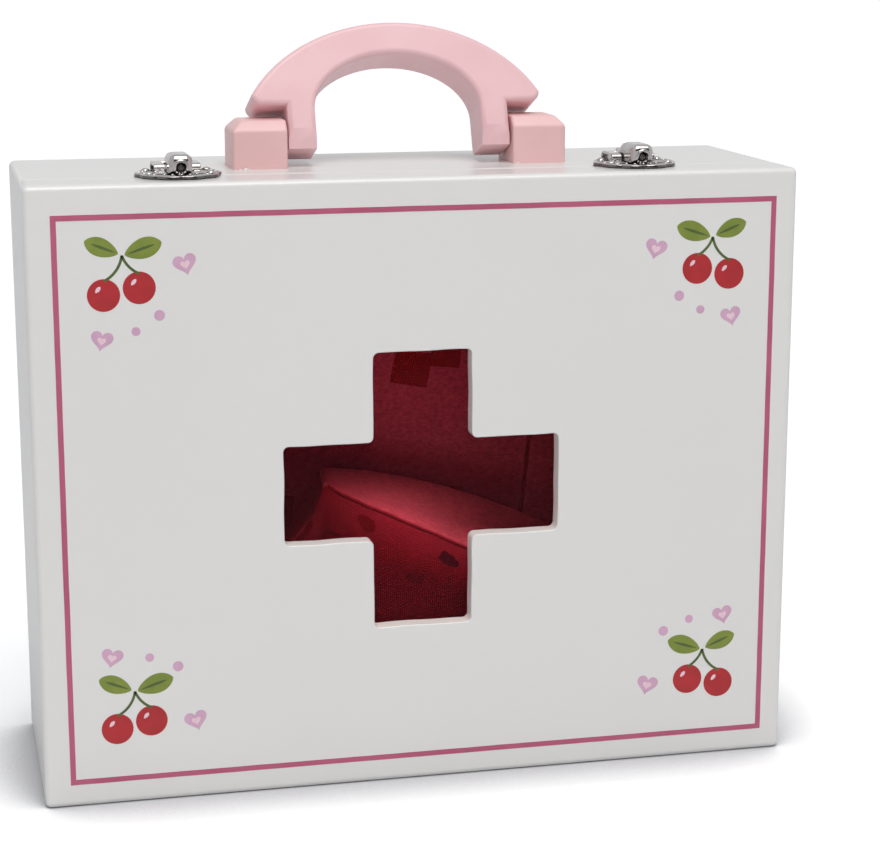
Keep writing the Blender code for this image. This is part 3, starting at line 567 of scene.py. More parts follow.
# %% Material helpers
def new_material(name, **sockets):
    """A material with one Principled shader, its Wiring and its shader node."""
    material = bpy.data.materials.new(name)
    material.use_nodes = True
    wiring = Wiring(material.node_tree)
    shader = material.node_tree.nodes["Principled BSDF"]
    for key, value in sockets.items():
        shader.inputs[key.replace("_", " ")].default_value = value
    return material, wiring, shader


def object_place(wiring):
    return wiring.add("ShaderNodeTexCoord").outputs["Object"]


def bumped(wiring, shader, height, distance, strength=1.0, below=None):
    """Let a height in metres push the shading normal."""
    bump = wiring.add("ShaderNodeBump")
    bump.inputs["Strength"].default_value = strength
    bump.inputs["Distance"].default_value = distance
    wiring.join(height, bump.inputs["Height"])
    if below is not None:
        wiring.join(below, bump.inputs["Normal"])
    wiring.join(bump.outputs["Normal"], shader.inputs["Normal"])
    return bump.outputs["Normal"]


print("material helpers ready")

# %% [markdown]
# ### White lacquer
#
# Outside, the paint is thick and glossy. Inside the boxes it is one thin coat,
# so the grain of the boards shows a little. A box-shaped mask, worked out from
# the place on the object, tells the two apart. The edges of the boards take
# less paint, so they are a touch warmer. A third mask makes the sawn walls of
# the window cream, lighter than the outside coat: a painted highlight for the
# light that falls on them from above.


# %% White lacquer
def box_mask(wiring, place, centre, half, soft):
    """1 inside a box, 0 outside, with a soft step, all in metres."""
    inside = None
    for axis, (middle, reach) in zip(wiring.split(place), zip(centre, half)):
        away = wiring.math("ABSOLUTE", wiring.math("SUBTRACT", axis, middle))
        part = wiring.range(away, reach - soft, reach + soft, 1.0, 0.0)
        inside = part if inside is None else wiring.math("MULTIPLY", inside, part)
    return inside


white_paint, w, shader = new_material("white_lacquer", IOR=1.5, Coat_Weight=0.15,
                                      Coat_Roughness=0.12)
place = object_place(w)
inside = box_mask(w, place, (0, 0.0007, 0.1), (0.1181, 0.0372, 0.0931), 0.0002)
core = box_mask(w, place, (0, 0, 0.1), (0.1242, 0.0412, 0.0992), 0.0004)
edge_x = box_mask(w, place, (0, 0, 0.1), (0.2, 0.0412, 0.0992), 0.0006)
edge_y = box_mask(w, place, (0, 0, 0.1), (0.1242, 0.2, 0.0992), 0.0006)
edge_z = box_mask(w, place, (0, 0, 0.1), (0.1242, 0.0412, 0.3), 0.0006)
face = w.math("MAXIMUM", w.math("MAXIMUM", edge_x, edge_y), edge_z)
edge = w.math("SUBTRACT", 1.0, face)
coat = w.group(patina, Place=place, Colour=(0.775, 0.770, 0.758, 1),
               Shade=(0.762, 0.756, 0.742, 1), Cloud_size=9.0, Cloud=0.7, Specks=0.03)
boards = w.group(grain, Place=place, Along=10.0, Across=190.0)
thin = w.mix(boards.outputs["Streak"], (0.72, 0.69, 0.63, 1), (0.60, 0.55, 0.47, 1))
colour = w.mix(w.math("MULTIPLY", inside, 0.75), coat.outputs["Colour"], thin)
colour = w.mix(w.math("MULTIPLY", edge, 0.25), colour, (0.80, 0.77, 0.72, 1))
# The sawn walls of the window: cream, with a painted highlight for the light from above.
sawn = box_mask(w, place, (-0.0008, -0.0385, 0.0988), (0.0475, 0.0030, 0.0475), 0.0002)
colour = w.mix(sawn, colour, (0.96, 0.90, 0.86, 1))
w.join(colour, shader.inputs["Base Color"])
spray = w.group(lacquer, Place=place, Peel_size=650.0, Wave_size=38.0, Peel_share=0.03)
rough = w.math("MULTIPLY_ADD", spray.outputs["Gloss change"], 0.008, 0.30)
rough = w.math("ADD", rough, w.math("MULTIPLY", inside, 0.25))
w.join(rough, shader.inputs["Roughness"])
grain_height = w.math("MULTIPLY", boards.outputs["Height"], w.math("MULTIPLY", inside, 4.0))
height = w.math("ADD", spray.outputs["Height"], grain_height)
bumped(w, shader, height, 0.000006)
print("material made:", white_paint.name)


# %% Pink lacquer for the handle, and the other paints
def painted(name, colour, shade, roughness, cloud_size=60.0, peel=0.2, bump=0.00008, grained=0.0):
    """A sprayed or printed paint in one colour that is never quite even."""
    material, w, shader = new_material(name, IOR=1.5, Coat_Weight=0.1, Coat_Roughness=0.15)
    place = object_place(w)
    coat = w.group(patina, Place=place, Colour=(*colour, 1), Shade=(*shade, 1),
                   Cloud_size=cloud_size, Cloud=0.8, Specks=0.04)
    spray = w.group(lacquer, Place=place, Peel_size=800.0, Wave_size=70.0, Peel_share=peel)
    boards = w.group(grain, Place=place, Along=14.0, Across=240.0)
    streaks = w.math("MULTIPLY", boards.outputs["Streak"], grained)
    w.join(w.mix(streaks, coat.outputs["Colour"], (*shade, 1)), shader.inputs["Base Color"])
    w.join(w.math("MULTIPLY_ADD", spray.outputs["Gloss change"], 0.04, roughness),
           shader.inputs["Roughness"])
    height = w.math("ADD", spray.outputs["Height"], w.math("MULTIPLY", boards.outputs["Height"], grained))
    bumped(w, shader, height, bump)
    return material


pink_paint = painted("pink_lacquer", (0.86, 0.555, 0.585), (0.83, 0.52, 0.55), 0.38, grained=0.08)
block_paint = painted("pink_block_lacquer", (0.86, 0.55, 0.55), (0.82, 0.51, 0.505), 0.42,
                      grained=0.15)
border_paint = painted("border_pink", (0.50, 0.10, 0.19), (0.44, 0.08, 0.16), 0.35)
red_print = painted("cherry_red_print", (0.46, 0.010, 0.017), (0.39, 0.008, 0.013), 0.33, 140.0)
green_print = painted("leaf_green_print", (0.22, 0.28, 0.035), (0.17, 0.23, 0.025), 0.35, 140.0)
dark_print = painted("vein_green_print", (0.085, 0.13, 0.025), (0.06, 0.10, 0.02), 0.35, 140.0)
lilac_print = painted("lilac_print", (0.66, 0.40, 0.56), (0.60, 0.35, 0.50), 0.35, 140.0)
pale_print = painted("pale_print", (0.84, 0.62, 0.70), (0.80, 0.56, 0.64), 0.35, 140.0)
print("paints made")


# %% Metals
def plated(name, colour, dull, roughness, spread, bump, groove_tarnish_and_shade=None):
    """A plated metal: bright, with smudges and hair-fine scratches.

    The last argument names two heights in metres: the metal is dark below the
    first and clean above the second, tarnished and painted with shade, as in the
    pressed grooves of a stamped plate.
    """
    material, w, shader = new_material(name, Metallic=1.0)
    place = object_place(w)
    wear = w.group(handled, Place=place, Scratch_size=1400.0)
    shade = w.mix(wear.outputs["Smudge"], (*colour, 1), (*dull, 1))
    if groove_tarnish_and_shade is not None:
        # Painted shade, with some tarnished metal, low on the plate: its grooves and edges are dark.
        height = w.split(place)[2]
        groove = w.range(height, *groove_tarnish_and_shade, 0.85, 0.0)
        shade = w.mix(groove, shade, (0.09, 0.08, 0.078, 1))
    w.join(shade, shader.inputs["Base Color"])
    w.join(w.math("MULTIPLY_ADD", wear.outputs["Smudge"], spread, roughness),
           shader.inputs["Roughness"])
    bumped(w, shader, wear.outputs["Height"], bump)
    return material


chrome = plated("bright_nickel", (0.56, 0.54, 0.535), (0.44, 0.42, 0.415), 0.12, 0.10, 0.00001,
                groove_tarnish_and_shade=(0.20090, 0.20122))
# The ball's steel is painted dark: a painted shade for the hollow of the hood's mouth it sits in.
shaded_ball_steel = plated("shade_darkened_steel", (0.15, 0.14, 0.13), (0.10, 0.095, 0.09), 0.28, 0.15, 0.00002)
zinc = plated("zinc_plating", (0.52, 0.52, 0.53), (0.38, 0.38, 0.40), 0.28, 0.22, 0.00002)
print("metals made")

# %% [markdown]
# ### Red window
#
# The pane is a thin sheet of see-through red acrylic. Glass that bends light is
# slow to light a room through, so shadow rays pass straight through a red
# tinted Transparent shader, and all other rays meet the glass shader.

# %% Red acrylic
red_acrylic, w, shader = new_material("red_clear_acrylic", Transmission_Weight=0.985, IOR=1.06)
place = object_place(w)
tint = w.group(patina, Place=place, Colour=(0.88, 0.20, 0.265, 1), Shade=(0.84, 0.19, 0.25, 1),
               Cloud_size=20.0, Cloud=0.6, Specks=0.0)
w.join(tint.outputs["Colour"], shader.inputs["Base Color"])
sheet_wave = w.group(lacquer, Place=place, Peel_size=300.0, Wave_size=25.0, Peel_share=0.02)
w.join(w.math("MULTIPLY_ADD", sheet_wave.outputs["Gloss change"], 0.002, 0.004),
       shader.inputs["Roughness"])
through = w.add("ShaderNodeBsdfTransparent")
through.inputs["Color"].default_value = (0.96, 0.88, 0.90, 1)
choose = w.add("ShaderNodeMixShader")
w.join(w.add("ShaderNodeLightPath").outputs["Is Shadow Ray"], choose.inputs[0])
w.join(shader.outputs[0], choose.inputs[1])
w.join(through.outputs[0], choose.inputs[2])
w.join(choose.outputs[0], w.tree.nodes["Material Output"].inputs["Surface"])
print("material made:", red_acrylic.name)


# %% Woven cotton
def cotton(name, base, shade, zones):
    """Woven cotton that follows the cloth's own UV map, in metres."""
    material, w, shader = new_material(name, Roughness=0.92, Sheen_Weight=0.15,
                                       Sheen_Roughness=0.5)
    cloth = w.add("ShaderNodeUVMap", uv_map="cloth").outputs[0]
    threads = w.group(weave, Place=cloth, Threads_per_metre=1450.0)
    tone = w.range(threads.outputs["Thread tone"], 0.3, 0.7)
    colour = zones(w, cloth, w.mix(tone, (*base, 1), (*shade, 1)))
    # Painted shade between the threads: the colour is darkened in the gaps of the weave.
    gap_shade = w.math("MULTIPLY", threads.outputs["Gap"], 0.5)
    gap_shaded_colour = w.mix(1.0, colour, colour)
    gap_shaded_colour.node.blend_type = "MULTIPLY"
    w.join(w.mix(gap_shade, colour, gap_shaded_colour), shader.inputs["Base Color"])
    bumped(w, shader, threads.outputs["Height"], 0.00025)
    return material


def crimson_shade(w, colour, factor):
    """Paint crimson shade over a colour: the lower the factor from 1 to 0, the deeper the shade."""
    shade_tint = w.add("ShaderNodeCombineColor")
    for socket, power in zip(shade_tint.inputs, (1.0, 2.4, 2.0)):
        w.join(w.math("POWER", factor, power), socket)
    product = w.mix(1.0, colour, shade_tint.outputs[0])
    product.node.blend_type = "MULTIPLY"
    return product


print("cotton builder ready")

# %% [markdown]
# ### Two cottons
#
# The folded cloth is pale on its top fold. Painted shade darkens it to crimson
# along a line at the hem, along a fold on its front, past its slumped left end,
# and over its front, more towards the foot and towards the left. Small red and
# violet spots are printed on it. The lining is pale, with a painted shadow of
# the cloth over its lower part and a painted shade line at its right, and a
# print of tilted red squares. All these patterns are worked out from the UV
# map, whose zero lies on the cloth's hem, or on the middle of the tray's bottom
# for the lining.


# %% The two cottons
def cloth_zones(w, cloth, colour):
    across, down = w.split(cloth)[:2]
    cells = w.add("ShaderNodeTexVoronoi", feature="F1", voronoi_dimensions="2D")
    cells.inputs["Scale"].default_value = 48.0
    cells.inputs["Randomness"].default_value = 0.75
    w.join(cloth, cells.inputs["Vector"])
    ragged = w.math("MULTIPLY_ADD", w.noise(cloth, 230.0, 2.0), 0.24, -0.12)
    spot = w.math("LESS_THAN", w.math("ADD", cells.outputs["Distance"], ragged), 0.15)
    hue = w.split(cells.outputs["Color"])[0]
    ink = w.mix(w.math("GREATER_THAN", hue, 0.5), (0.42, 0.0, 0.0, 1), (0.07, 0.0, 0.16, 1))
    below = w.range(down, -0.0002, 0.0006)
    colour = w.mix(w.math("MULTIPLY", spot, below), colour, ink)
    # Painted shade on the front below the hem: darker towards the foot and towards the left.
    front = w.range(down, 0.001, 0.024, 0.46, 0.13)
    front = w.math("MULTIPLY", front, w.range(across, -0.046, -0.018, 0.6, 1.0))
    # Painted shade on the top fold where it runs past its slumped left end.
    slant = w.math("MULTIPLY_ADD", down, 0.128, across)
    pale = w.range(slant, -0.0294, -0.0288, 0.42, 1.0)
    factor = w.math("ADD", w.math("MULTIPLY", below, front),
                    w.math("MULTIPLY", w.math("SUBTRACT", 1.0, below), pale))
    # A painted shade line along the hem, left out near the cloth's left end.
    hem = w.range(w.math("ABSOLUTE", w.math("SUBTRACT", down, 0.0013)), 0.0002, 0.0005, 0.08, 1.0)
    hem = w.math("MAXIMUM", hem, w.range(across, -0.028, -0.026, 1.0, 0.0))
    # A painted shade line along a fold lower on the front, on its left part only.
    crease_shade = w.range(w.math("ABSOLUTE", w.math("SUBTRACT", down, 0.0165)), 0.0002, 0.0006, 0.3, 1.0)
    crease_shade = w.math("MAXIMUM", crease_shade, w.range(across, -0.022, -0.018))
    return crimson_shade(w, colour, w.math("MULTIPLY", factor, w.math("MULTIPLY", hem, crease_shade)))


def tilted_square(w, across, up, centre, half, angle):
    """A repeating print of one tilted square, from its middle and half sides."""
    repeat = (0.062, 0.058)
    run = w.math("WRAP", w.math("SUBTRACT", across, centre[0]), repeat[0] / 2, -repeat[0] / 2)
    rise = w.math("WRAP", w.math("SUBTRACT", up, centre[1]), repeat[1] / 2, -repeat[1] / 2)
    cosine, sine = math.cos(angle), math.sin(angle)
    first = w.math("ADD", w.math("MULTIPLY", run, cosine), w.math("MULTIPLY", rise, sine))
    second = w.math("SUBTRACT", w.math("MULTIPLY", rise, cosine), w.math("MULTIPLY", run, sine))
    inside = None
    for side, reach in ((first, half[0]), (second, half[1])):
        part = w.range(w.math("ABSOLUTE", side), reach - 0.0002, reach + 0.0002, 1.0, 0.0)
        inside = part if inside is None else w.math("MULTIPLY", inside, part)
    return inside


def lining_zones(w, cloth, colour):
    across, up = w.split(cloth)[:2]
    first = tilted_square(w, across, up, (0.0128, 0.1235), (0.0068, 0.0062), -0.2)
    second = tilted_square(w, across, up, (0.0258, 0.1305), (0.0054, 0.0072), -0.1)
    colour = w.mix(w.math("MAXIMUM", first, second), colour, (0.42, 0.0, 0.0, 1))
    # Painted shadow of the folded cloth on the lining: below a bent line the lining is shaded deep
    # crimson.
    border = w.math("MAXIMUM", w.math("MULTIPLY", across, -0.9), w.math("MULTIPLY", across, -0.255))
    above = w.math("SUBTRACT", w.math("SUBTRACT", up, 0.0985), border)
    cloth_shadow = w.range(above, -0.008, 0.005, 0.6, 1.0)
    # Beyond a near-upright line on the right, the painted shadow is nearly lifted, and a painted shade
    # line runs along that line.
    seam = w.math("MULTIPLY_ADD", w.math("SUBTRACT", up, 0.067), 0.105, 0.0534)
    beyond = w.math("SUBTRACT", across, seam)
    side_panel = w.range(beyond, -0.0003, 0.0003)
    cloth_shadow = w.math("MAXIMUM", cloth_shadow, w.math("MULTIPLY", side_panel, 0.95))
    line = w.range(w.math("ABSOLUTE", beyond), 0.0003, 0.0012, 0.35, 1.0)
    return crimson_shade(w, colour, w.math("MULTIPLY", cloth_shadow, line))


cloth_cotton = cotton("printed_cotton", (0.90, 0.88, 0.86), (0.70, 0.68, 0.66), cloth_zones)
lining_cotton = cotton("lining_cotton", (0.90, 0.85, 0.90), (0.64, 0.58, 0.68), lining_zones)
print("cotton made")

# %% [markdown]
# ## Lid and tray
#
# On the real case these are boxes of 7 mm boards, glued, filled and sprayed, so
# that no joint shows outside. That is why each box is one shell here: a block,
# hollowed from the seam side with an inset and an extrusion. The outer edges
# are rounded by hand sanding. The lid's window is a cross cut with a fine saw,
# so its edge is a little uneven before the paint softens it.

# %% Sizes of the boxes
SIDE_X = 125.0
TOP_Z = 200.0
FRONT_Y = -42.0
BACK_Y = 42.0
LID_SEAM_Y = -22.04
TRAY_SEAM_Y = -21.96
WALL = 7.0
PANEL_BACK_Y = -36.5
TRAY_FLOOR_Y = 38.0
EDGE_ROUND = 2.0
print("box", 2 * SIDE_X, BACK_Y - FRONT_Y, TOP_Z, "mm")


# %% A hollow box of boards
def hollow_box(outer_y, seam_y, floor_y):
    """A rounded block, opened at the seam and hollowed down to its panel."""
    bm = block((-SIDE_X, min(outer_y, seam_y), 0), (SIDE_X, max(outer_y, seam_y), TOP_Z))
    opening = [item for item in bm.faces if near(item.calc_center_median().y / MM, seam_y)]
    bmesh.ops.inset_region(bm, faces=opening, thickness=WALL * MM, use_even_offset=True)
    bottom = bmesh.ops.extrude_discrete_faces(bm, faces=opening)["faces"]
    bmesh.ops.translate(bm, vec=(0, (floor_y - seam_y) * MM, 0), verts=bottom[0].verts)
    outer = edges_where(bm, lambda p: near(p.y, outer_y))
    outer += edges_where(bm, lambda p: near(abs(p.x), SIDE_X) and near(p.z, 0))
    outer += edges_where(bm, lambda p: near(abs(p.x), SIDE_X) and near(p.z, TOP_Z))
    soften(bm, [edge for edge in outer if edge.calc_length() > 5 * MM], EDGE_ROUND, 6)
    lip = [edge for edge in edges_where(bm, lambda p: near(p.y, seam_y)) if len(edge.link_faces) == 2
           and edge.calc_face_angle() > 1.2]
    soften(bm, lip, 0.06, 1)
    return bm


def chamfer_seam_foot(bm, seam_y, direction):
    """Plane a 2 mm chamfer along the bottom edge of the seam, for the hinge."""
    return planed(bm, (0, seam_y, 2), Vector((0, direction, -1)).normalized())


HINGE_X = 75.0
BED_HALF = 9.3
LEAF_BED = (9.8, 1.15)
BARREL_BED = (2.15, 2.95)


def hinge_beds(direction, seam_y):
    """Blocks to cut away where the hinge leaves and barrels are let in."""
    middle = (LID_SEAM_Y + TRAY_SEAM_Y) / 2
    cuts = []
    for x in (-HINGE_X, HINGE_X):
        for long, deep in (LEAF_BED, BARREL_BED):
            low_y, high_y = sorted((seam_y - direction, middle + direction * long))
            cuts.append(block((x - BED_HALF, low_y, -1.5), (x + BED_HALF, high_y, deep)))
    return cuts


print("box builders ready")

# %% [markdown]
# ### The cross-shaped window
#
# Two crossed bars make the cutter. Its twelve upright corners get the small
# radius of the saw cut, its sides are divided finely, and every point is moved
# a few tenths of a millimetre in or out along a slow noise. The same noise
# is used on every run, so the shape never changes.

# %% Cutter for the cross
CROSS_X = -0.8
CROSS_Z = 98.8
CROSS_HALF_WIDE = 45.4
CROSS_HALF_HIGH = 45.6
ARM_HALF = 16.25


def cross_cutter(low_y, high_y):
    upright = block((CROSS_X - ARM_HALF, low_y, CROSS_Z - CROSS_HALF_HIGH),
                    (CROSS_X + ARM_HALF, high_y, CROSS_Z + CROSS_HALF_HIGH))
    level = block((CROSS_X - CROSS_HALF_WIDE, low_y, CROSS_Z - ARM_HALF),
                  (CROSS_X + CROSS_HALF_WIDE, high_y, CROSS_Z + ARM_HALF))
    bm = combined(upright, level, "UNION")
    bmesh.ops.dissolve_limit(bm, angle_limit=0.01, verts=bm.verts, edges=bm.edges)
    along = [edge for edge in bm.edges if edge.calc_length() > 5 * MM
             and near(edge.verts[0].co.x / MM, edge.verts[1].co.x / MM)
             and near(edge.verts[0].co.z / MM, edge.verts[1].co.z / MM)]
    soften(bm, along, 1.8, 5)
    rims = [edge for edge in bm.edges if near(edge.verts[0].co.y / MM, edge.verts[1].co.y / MM)
            and edge.calc_length() > 3 * MM]
    bmesh.ops.subdivide_edges(bm, edges=rims, cuts=11)
    for vert in bm.verts:
        spot = Vector((vert.co.x * 90, 3.7, vert.co.z * 90))
        vert.co.x += 0.26 * MM * noise.noise(spot)
        vert.co.z += 0.26 * MM * noise.noise(spot + Vector((9, 4, 2)))
    return bm


print("cross", 2 * CROSS_HALF_WIDE, "by", 2 * CROSS_HALF_HIGH, "mm")

# %% Lid
lid_shape = hollow_box(FRONT_Y, LID_SEAM_Y, PANEL_BACK_Y)
lid_shape = combined(lid_shape, cross_cutter(FRONT_Y - 3, PANEL_BACK_Y + 3))
window_rim = []
for edge in edges_where(lid_shape, lambda p: near(p.y, FRONT_Y)):
    middle = (edge.verts[0].co + edge.verts[1].co) / 2 / MM
    if abs(middle.x) < 55 and edge.calc_face_angle(0) > 1.2:
        window_rim.append(edge)
soften(lid_shape, window_rim, 0.5, 4)
chamfer_seam_foot(lid_shape, LID_SEAM_Y, 1)
lid_shape = combined(lid_shape, together(*hinge_beds(-1, LID_SEAM_Y)))
lid = finished("lid_box", lid_shape, white_paint, "lid",
               ["front_panel", "lid_top_board", "lid_bottom_board", "lid_left_side",
                "lid_right_side"])
print("rounded", len(window_rim), "edges of the window")

# %% Tray
tray_shape = hollow_box(BACK_Y, TRAY_SEAM_Y, TRAY_FLOOR_Y)
chamfer_seam_foot(tray_shape, TRAY_SEAM_Y, -1)
tray_shape = combined(tray_shape, together(*hinge_beds(1, TRAY_SEAM_Y)))
tray = finished("tray_box", tray_shape, white_paint, "tray",
                ["back_panel", "tray_top_board", "tray_bottom_board", "tray_left_side",
                 "tray_right_side"])

# %% [markdown]
# ## Window pane
#
# The pane in the frame already has the right shape, a thin flat sheet behind
# the front panel, so it only needs its material.

# %% Window pane
pane = frame["nodes"]["window_pane"]
pane.data.materials.clear()
pane.data.materials.append(red_acrylic)
print("pane painted:", pane.name)

# %% [markdown]
# ## Painted border and corner motifs
#
# The border is a thin masked line. It is an inset ring of a flat rectangle,
# a few hundredths of a millimetre proud of the panel, with its edges very
# slightly uneven, as paint is along tape. The corner motifs are simple fruit,
# leaves and hearts, printed in flat colours: circles whose points are moved
# into each outline, and strips bent by a spin for the stems.

# %% Border
PRINT_BACK_Y = FRONT_Y + 0.02
PRINT_THICK = 0.06
BORDER = (-116.0, 116.9, 8.4, 190.0)
LINE = 1.75


def border_ring():
    low_x, high_x, low_z, high_z = BORDER
    half = LINE / 2
    bm = bmesh.new()
    bmesh.ops.create_grid(bm, x_segments=1, y_segments=1, size=0.5)
    size = Matrix.Diagonal(((high_x - low_x + LINE) * MM, (high_z - low_z + LINE) * MM, 1, 1))
    bmesh.ops.transform(bm, matrix=Matrix.Rotation(math.pi / 2, 4, "X") @ size, verts=bm.verts)
    moved(bm, ((low_x + high_x) / 2, PRINT_BACK_Y, (low_z + high_z) / 2))
    middle = bm.faces[:]
    bmesh.ops.inset_region(bm, faces=middle, thickness=LINE * MM, use_even_offset=True,
                           use_boundary=True)
    bmesh.ops.delete(bm, geom=middle, context="FACES_ONLY")
    long_edges = [edge for edge in bm.edges if edge.calc_length() > 100 * MM]
    bmesh.ops.subdivide_edges(bm, edges=long_edges, cuts=60)
    for vert in bm.verts:
        spot = Vector((vert.co.x * 160, 1.3, vert.co.z * 160))
        vert.co.x += 0.06 * MM * noise.noise(spot)
        vert.co.z += 0.06 * MM * noise.noise(spot + Vector((5, 8, 1)))
    return thickened(bm, (0, -0.07, 0))


border = finished("border_line", border_ring(), border_paint, "lid", weighted=False)


# %% Shapes of the motifs
def inked(bm, lift):
    """Give a flat print its thickness; a lift lays it over another ink."""
    return thickened(bm, (0, -PRINT_THICK - lift, 0))


def tilted(bm, x, z, angle):
    """Turn a print by an angle in degrees and set it on the panel."""
    return moved(bm, (x, PRINT_BACK_Y, z), Matrix.Rotation(-math.radians(angle), 4, "Y"))


def motif_disc(x, z, radius, lift=0.0):
    return inked(moved(disc(radius, radius, 28), (x, PRINT_BACK_Y, z)), lift)


def motif_leaf(x, z, long, wide, angle, lift=0.0):
    """A circle drawn out to two points, turned and set in place."""
    bm = disc(1, 1, 36)
    for vert in bm.verts:
        across, up = vert.co.x / MM, vert.co.z / MM
        vert.co.x = across * long / 2 * MM
        vert.co.z = up * abs(up) ** 0.45 * wide / 2 * (1 + 0.18 * across) * MM
    return inked(tilted(bm, x, z, angle), lift)


def motif_heart(x, z, size, angle, lift=0.0):
    """A circle whose points follow the classic heart curve."""
    bm = disc(1, 1, 40)
    for vert in bm.verts:
        turn = math.atan2(vert.co.x, vert.co.z)
        up = (13 * math.cos(turn) - 5 * math.cos(2 * turn) - 2 * math.cos(3 * turn)
              - math.cos(4 * turn))
        vert.co.x = 16 * math.sin(turn) ** 3 * size / 32 * MM
        vert.co.z = (up + 2.5) * size / 32 * MM
    return inked(tilted(bm, x, z, angle), lift)


def motif_stem(start, centre, angle, width, lift=0.0):
    """A short edge spun about a centre makes a bent strip."""
    bm = bmesh.new()
    spoke = (Vector((start[0], 0, start[1])) - Vector((centre[0], 0, centre[1]))).normalized()
    middle = Vector((start[0], PRINT_BACK_Y, start[1]))
    ends = [bm.verts.new((middle + spoke * side * width / 2) * MM) for side in (-1, 1)]
    edge = bm.edges.new(ends)
    bmesh.ops.spin(bm, geom=ends + [edge], axis=(0, -1, 0),
                   cent=Vector((centre[0], PRINT_BACK_Y, centre[1])) * MM,
                   angle=math.radians(angle), steps=14)
    return inked(bm, lift)


print("motif shapes ready")

# %% [markdown]
# Each corner gets a sprig with a pair of round fruit, two leaves at the top of
# the stems, and a small trail of hearts and dots towards the middle of the
# panel. The sprigs on the right are mirrored, so that the four corners balance.

# %% Corner motifs
SPRIGS = ((-97.0, 170.5, 1), (97.6, 170.5, -1), (-97.0, 30.0, 1), (97.6, 30.0, -1))
INKS = (("red", "printed_fruit", red_print), ("green", "printed_leaves", green_print),
        ("dark", "printed_stems", dark_print), ("lilac", "printed_hearts", lilac_print),
        ("pale", "printed_lights", pale_print))


def leaning(side, angle):
    """The same angle on the left of the panel, mirrored on the right."""
    return angle if side > 0 else 180 - angle


def sprig(x, z, side, upper):
    """All shapes of one corner, sorted by their ink."""
    joint = (x + side * 1.5, z + 7.6)
    fruit = ((x - side * 4.4, z - 4.6), (x + side * 6.6, z - 2.6))
    inks = {ink: [] for ink, name, material in INKS}
    for spot in fruit:
        inks["red"].append(motif_disc(*spot, 5.1))
        inks["pale"].append(motif_leaf(spot[0] - 1.7, spot[1] + 1.8, 2.4, 1.2, 50, 0.03))
    for spot, bend in zip(fruit, (-1, 1)):
        top = Vector((spot[0] + 0.2, spot[1] + 4.4))
        span = Vector(joint) - top
        middle = (Vector(joint) + top) / 2
        out = Vector((span.y, -span.x)).normalized() * 9 * (1 if side * bend > 0 else -1)
        centre = middle + out
        first = top - centre
        second = Vector(joint) - centre
        turn = -math.degrees(first.angle_signed(second))
        inks["dark"].append(motif_stem(top, centre, turn, 0.85, 0.01))
    leaves = (("green", 6.6, 2.0, 12.0, 6.4, 18, 0.0), ("green", -6.2, 2.6, 11.0, 5.8, 158, 0.0),
              ("dark", 6.0, 1.8, 9.0, 0.9, 18, 0.02), ("dark", -5.6, 2.4, 8.0, 0.9, 158, 0.02))
    for ink, across, up, long, wide, angle, lift in leaves:
        inks[ink].append(motif_leaf(joint[0] + side * across, joint[1] + up, long, wide,
                                    leaning(side, angle), lift))
    trail = -1 if upper else 1
    for across, up, size, core, angle in ((21.0, -4.0, 7.4, 3.0, 14), (-5.5, 19.0, 7.0, 2.8, -12)):
        spot = (x + side * across, z + trail * up)
        inks["lilac"].append(motif_heart(*spot, size, side * angle))
        inks["pale"].append(motif_heart(*spot, core, side * angle, 0.03))
    dots = ((12.6, -11.4), (5.2, -16.2)) if upper else ((15.5, 15.0), (6.5, 18.6))
    for (across, up), radius in zip(dots, (1.7, 1.4)):
        inks["lilac"].append(motif_disc(x + side * across, z + up, radius))
    return inks


printed = {ink: [] for ink, name, material in INKS}
for x, z, side in SPRIGS:
    for ink, shapes in sprig(x, z, side, z > 100).items():
        printed[ink] += shapes
for ink, name, material in INKS:
    finished(name, together(*printed[ink]), material, "lid", weighted=False)

# %% [markdown]
# ## Handle
#
# The grip is sawn from one thick board and its edges are rounded with a router.
# The crown is half an ellipse, cut off level where its shoulders rest on the
# blocks. Two legs and the finger hole are part of the same outline. Each leg's
# foot is planed to a facet on both faces, and then every edge of both faces is
# rounded. The grip is made upright with its pivot at zero, then leaned back on
# its blocks.

# %% Grip
LEAN = math.radians(21)
PIVOT = (0, 2.0, 208.0)
LEG_IN, LEG_OUT, LEG_END = 27.8, 37.1, -4.4
SHOULDER = 9.85
GRIP_HALF = 9.0
GRIP_TIP, TIP_RADIUS = 48.5, 3.4
CROWN_LOW, CROWN_RISE = -6.0, 43.6
HOLE_LOW, HOLE_RISE = 8.0, 18.7
FACET_HIGH, FACET_DEEP = 6.2, 2.6


def grip_outline():
    """The sawn outline, upright: tip, crown, tip, leg, finger hole, leg."""
    tip = TIP_RADIUS
    start = math.asin((SHOULDER + tip - CROWN_LOW) / CROWN_RISE)
    right_tip = arc((GRIP_TIP - tip, SHOULDER + tip), (tip, tip), -math.pi / 2, 0, 6)[:-1]
    crown = arc((0, CROWN_LOW), (GRIP_TIP / math.cos(start), CROWN_RISE), start, math.pi - start, 72)
    left_tip = [(-x, z) for x, z in right_tip[::-1]]
    left_leg = [(-LEG_OUT, SHOULDER), (-LEG_OUT, LEG_END), (-LEG_IN, LEG_END)]
    hole = arc((0, HOLE_LOW), (LEG_IN, HOLE_RISE), math.pi, 0, 72)
    right_leg = [(-x, z) for x, z in left_leg[::-1]]
    return right_tip + crown + left_tip + left_leg + hole + right_leg


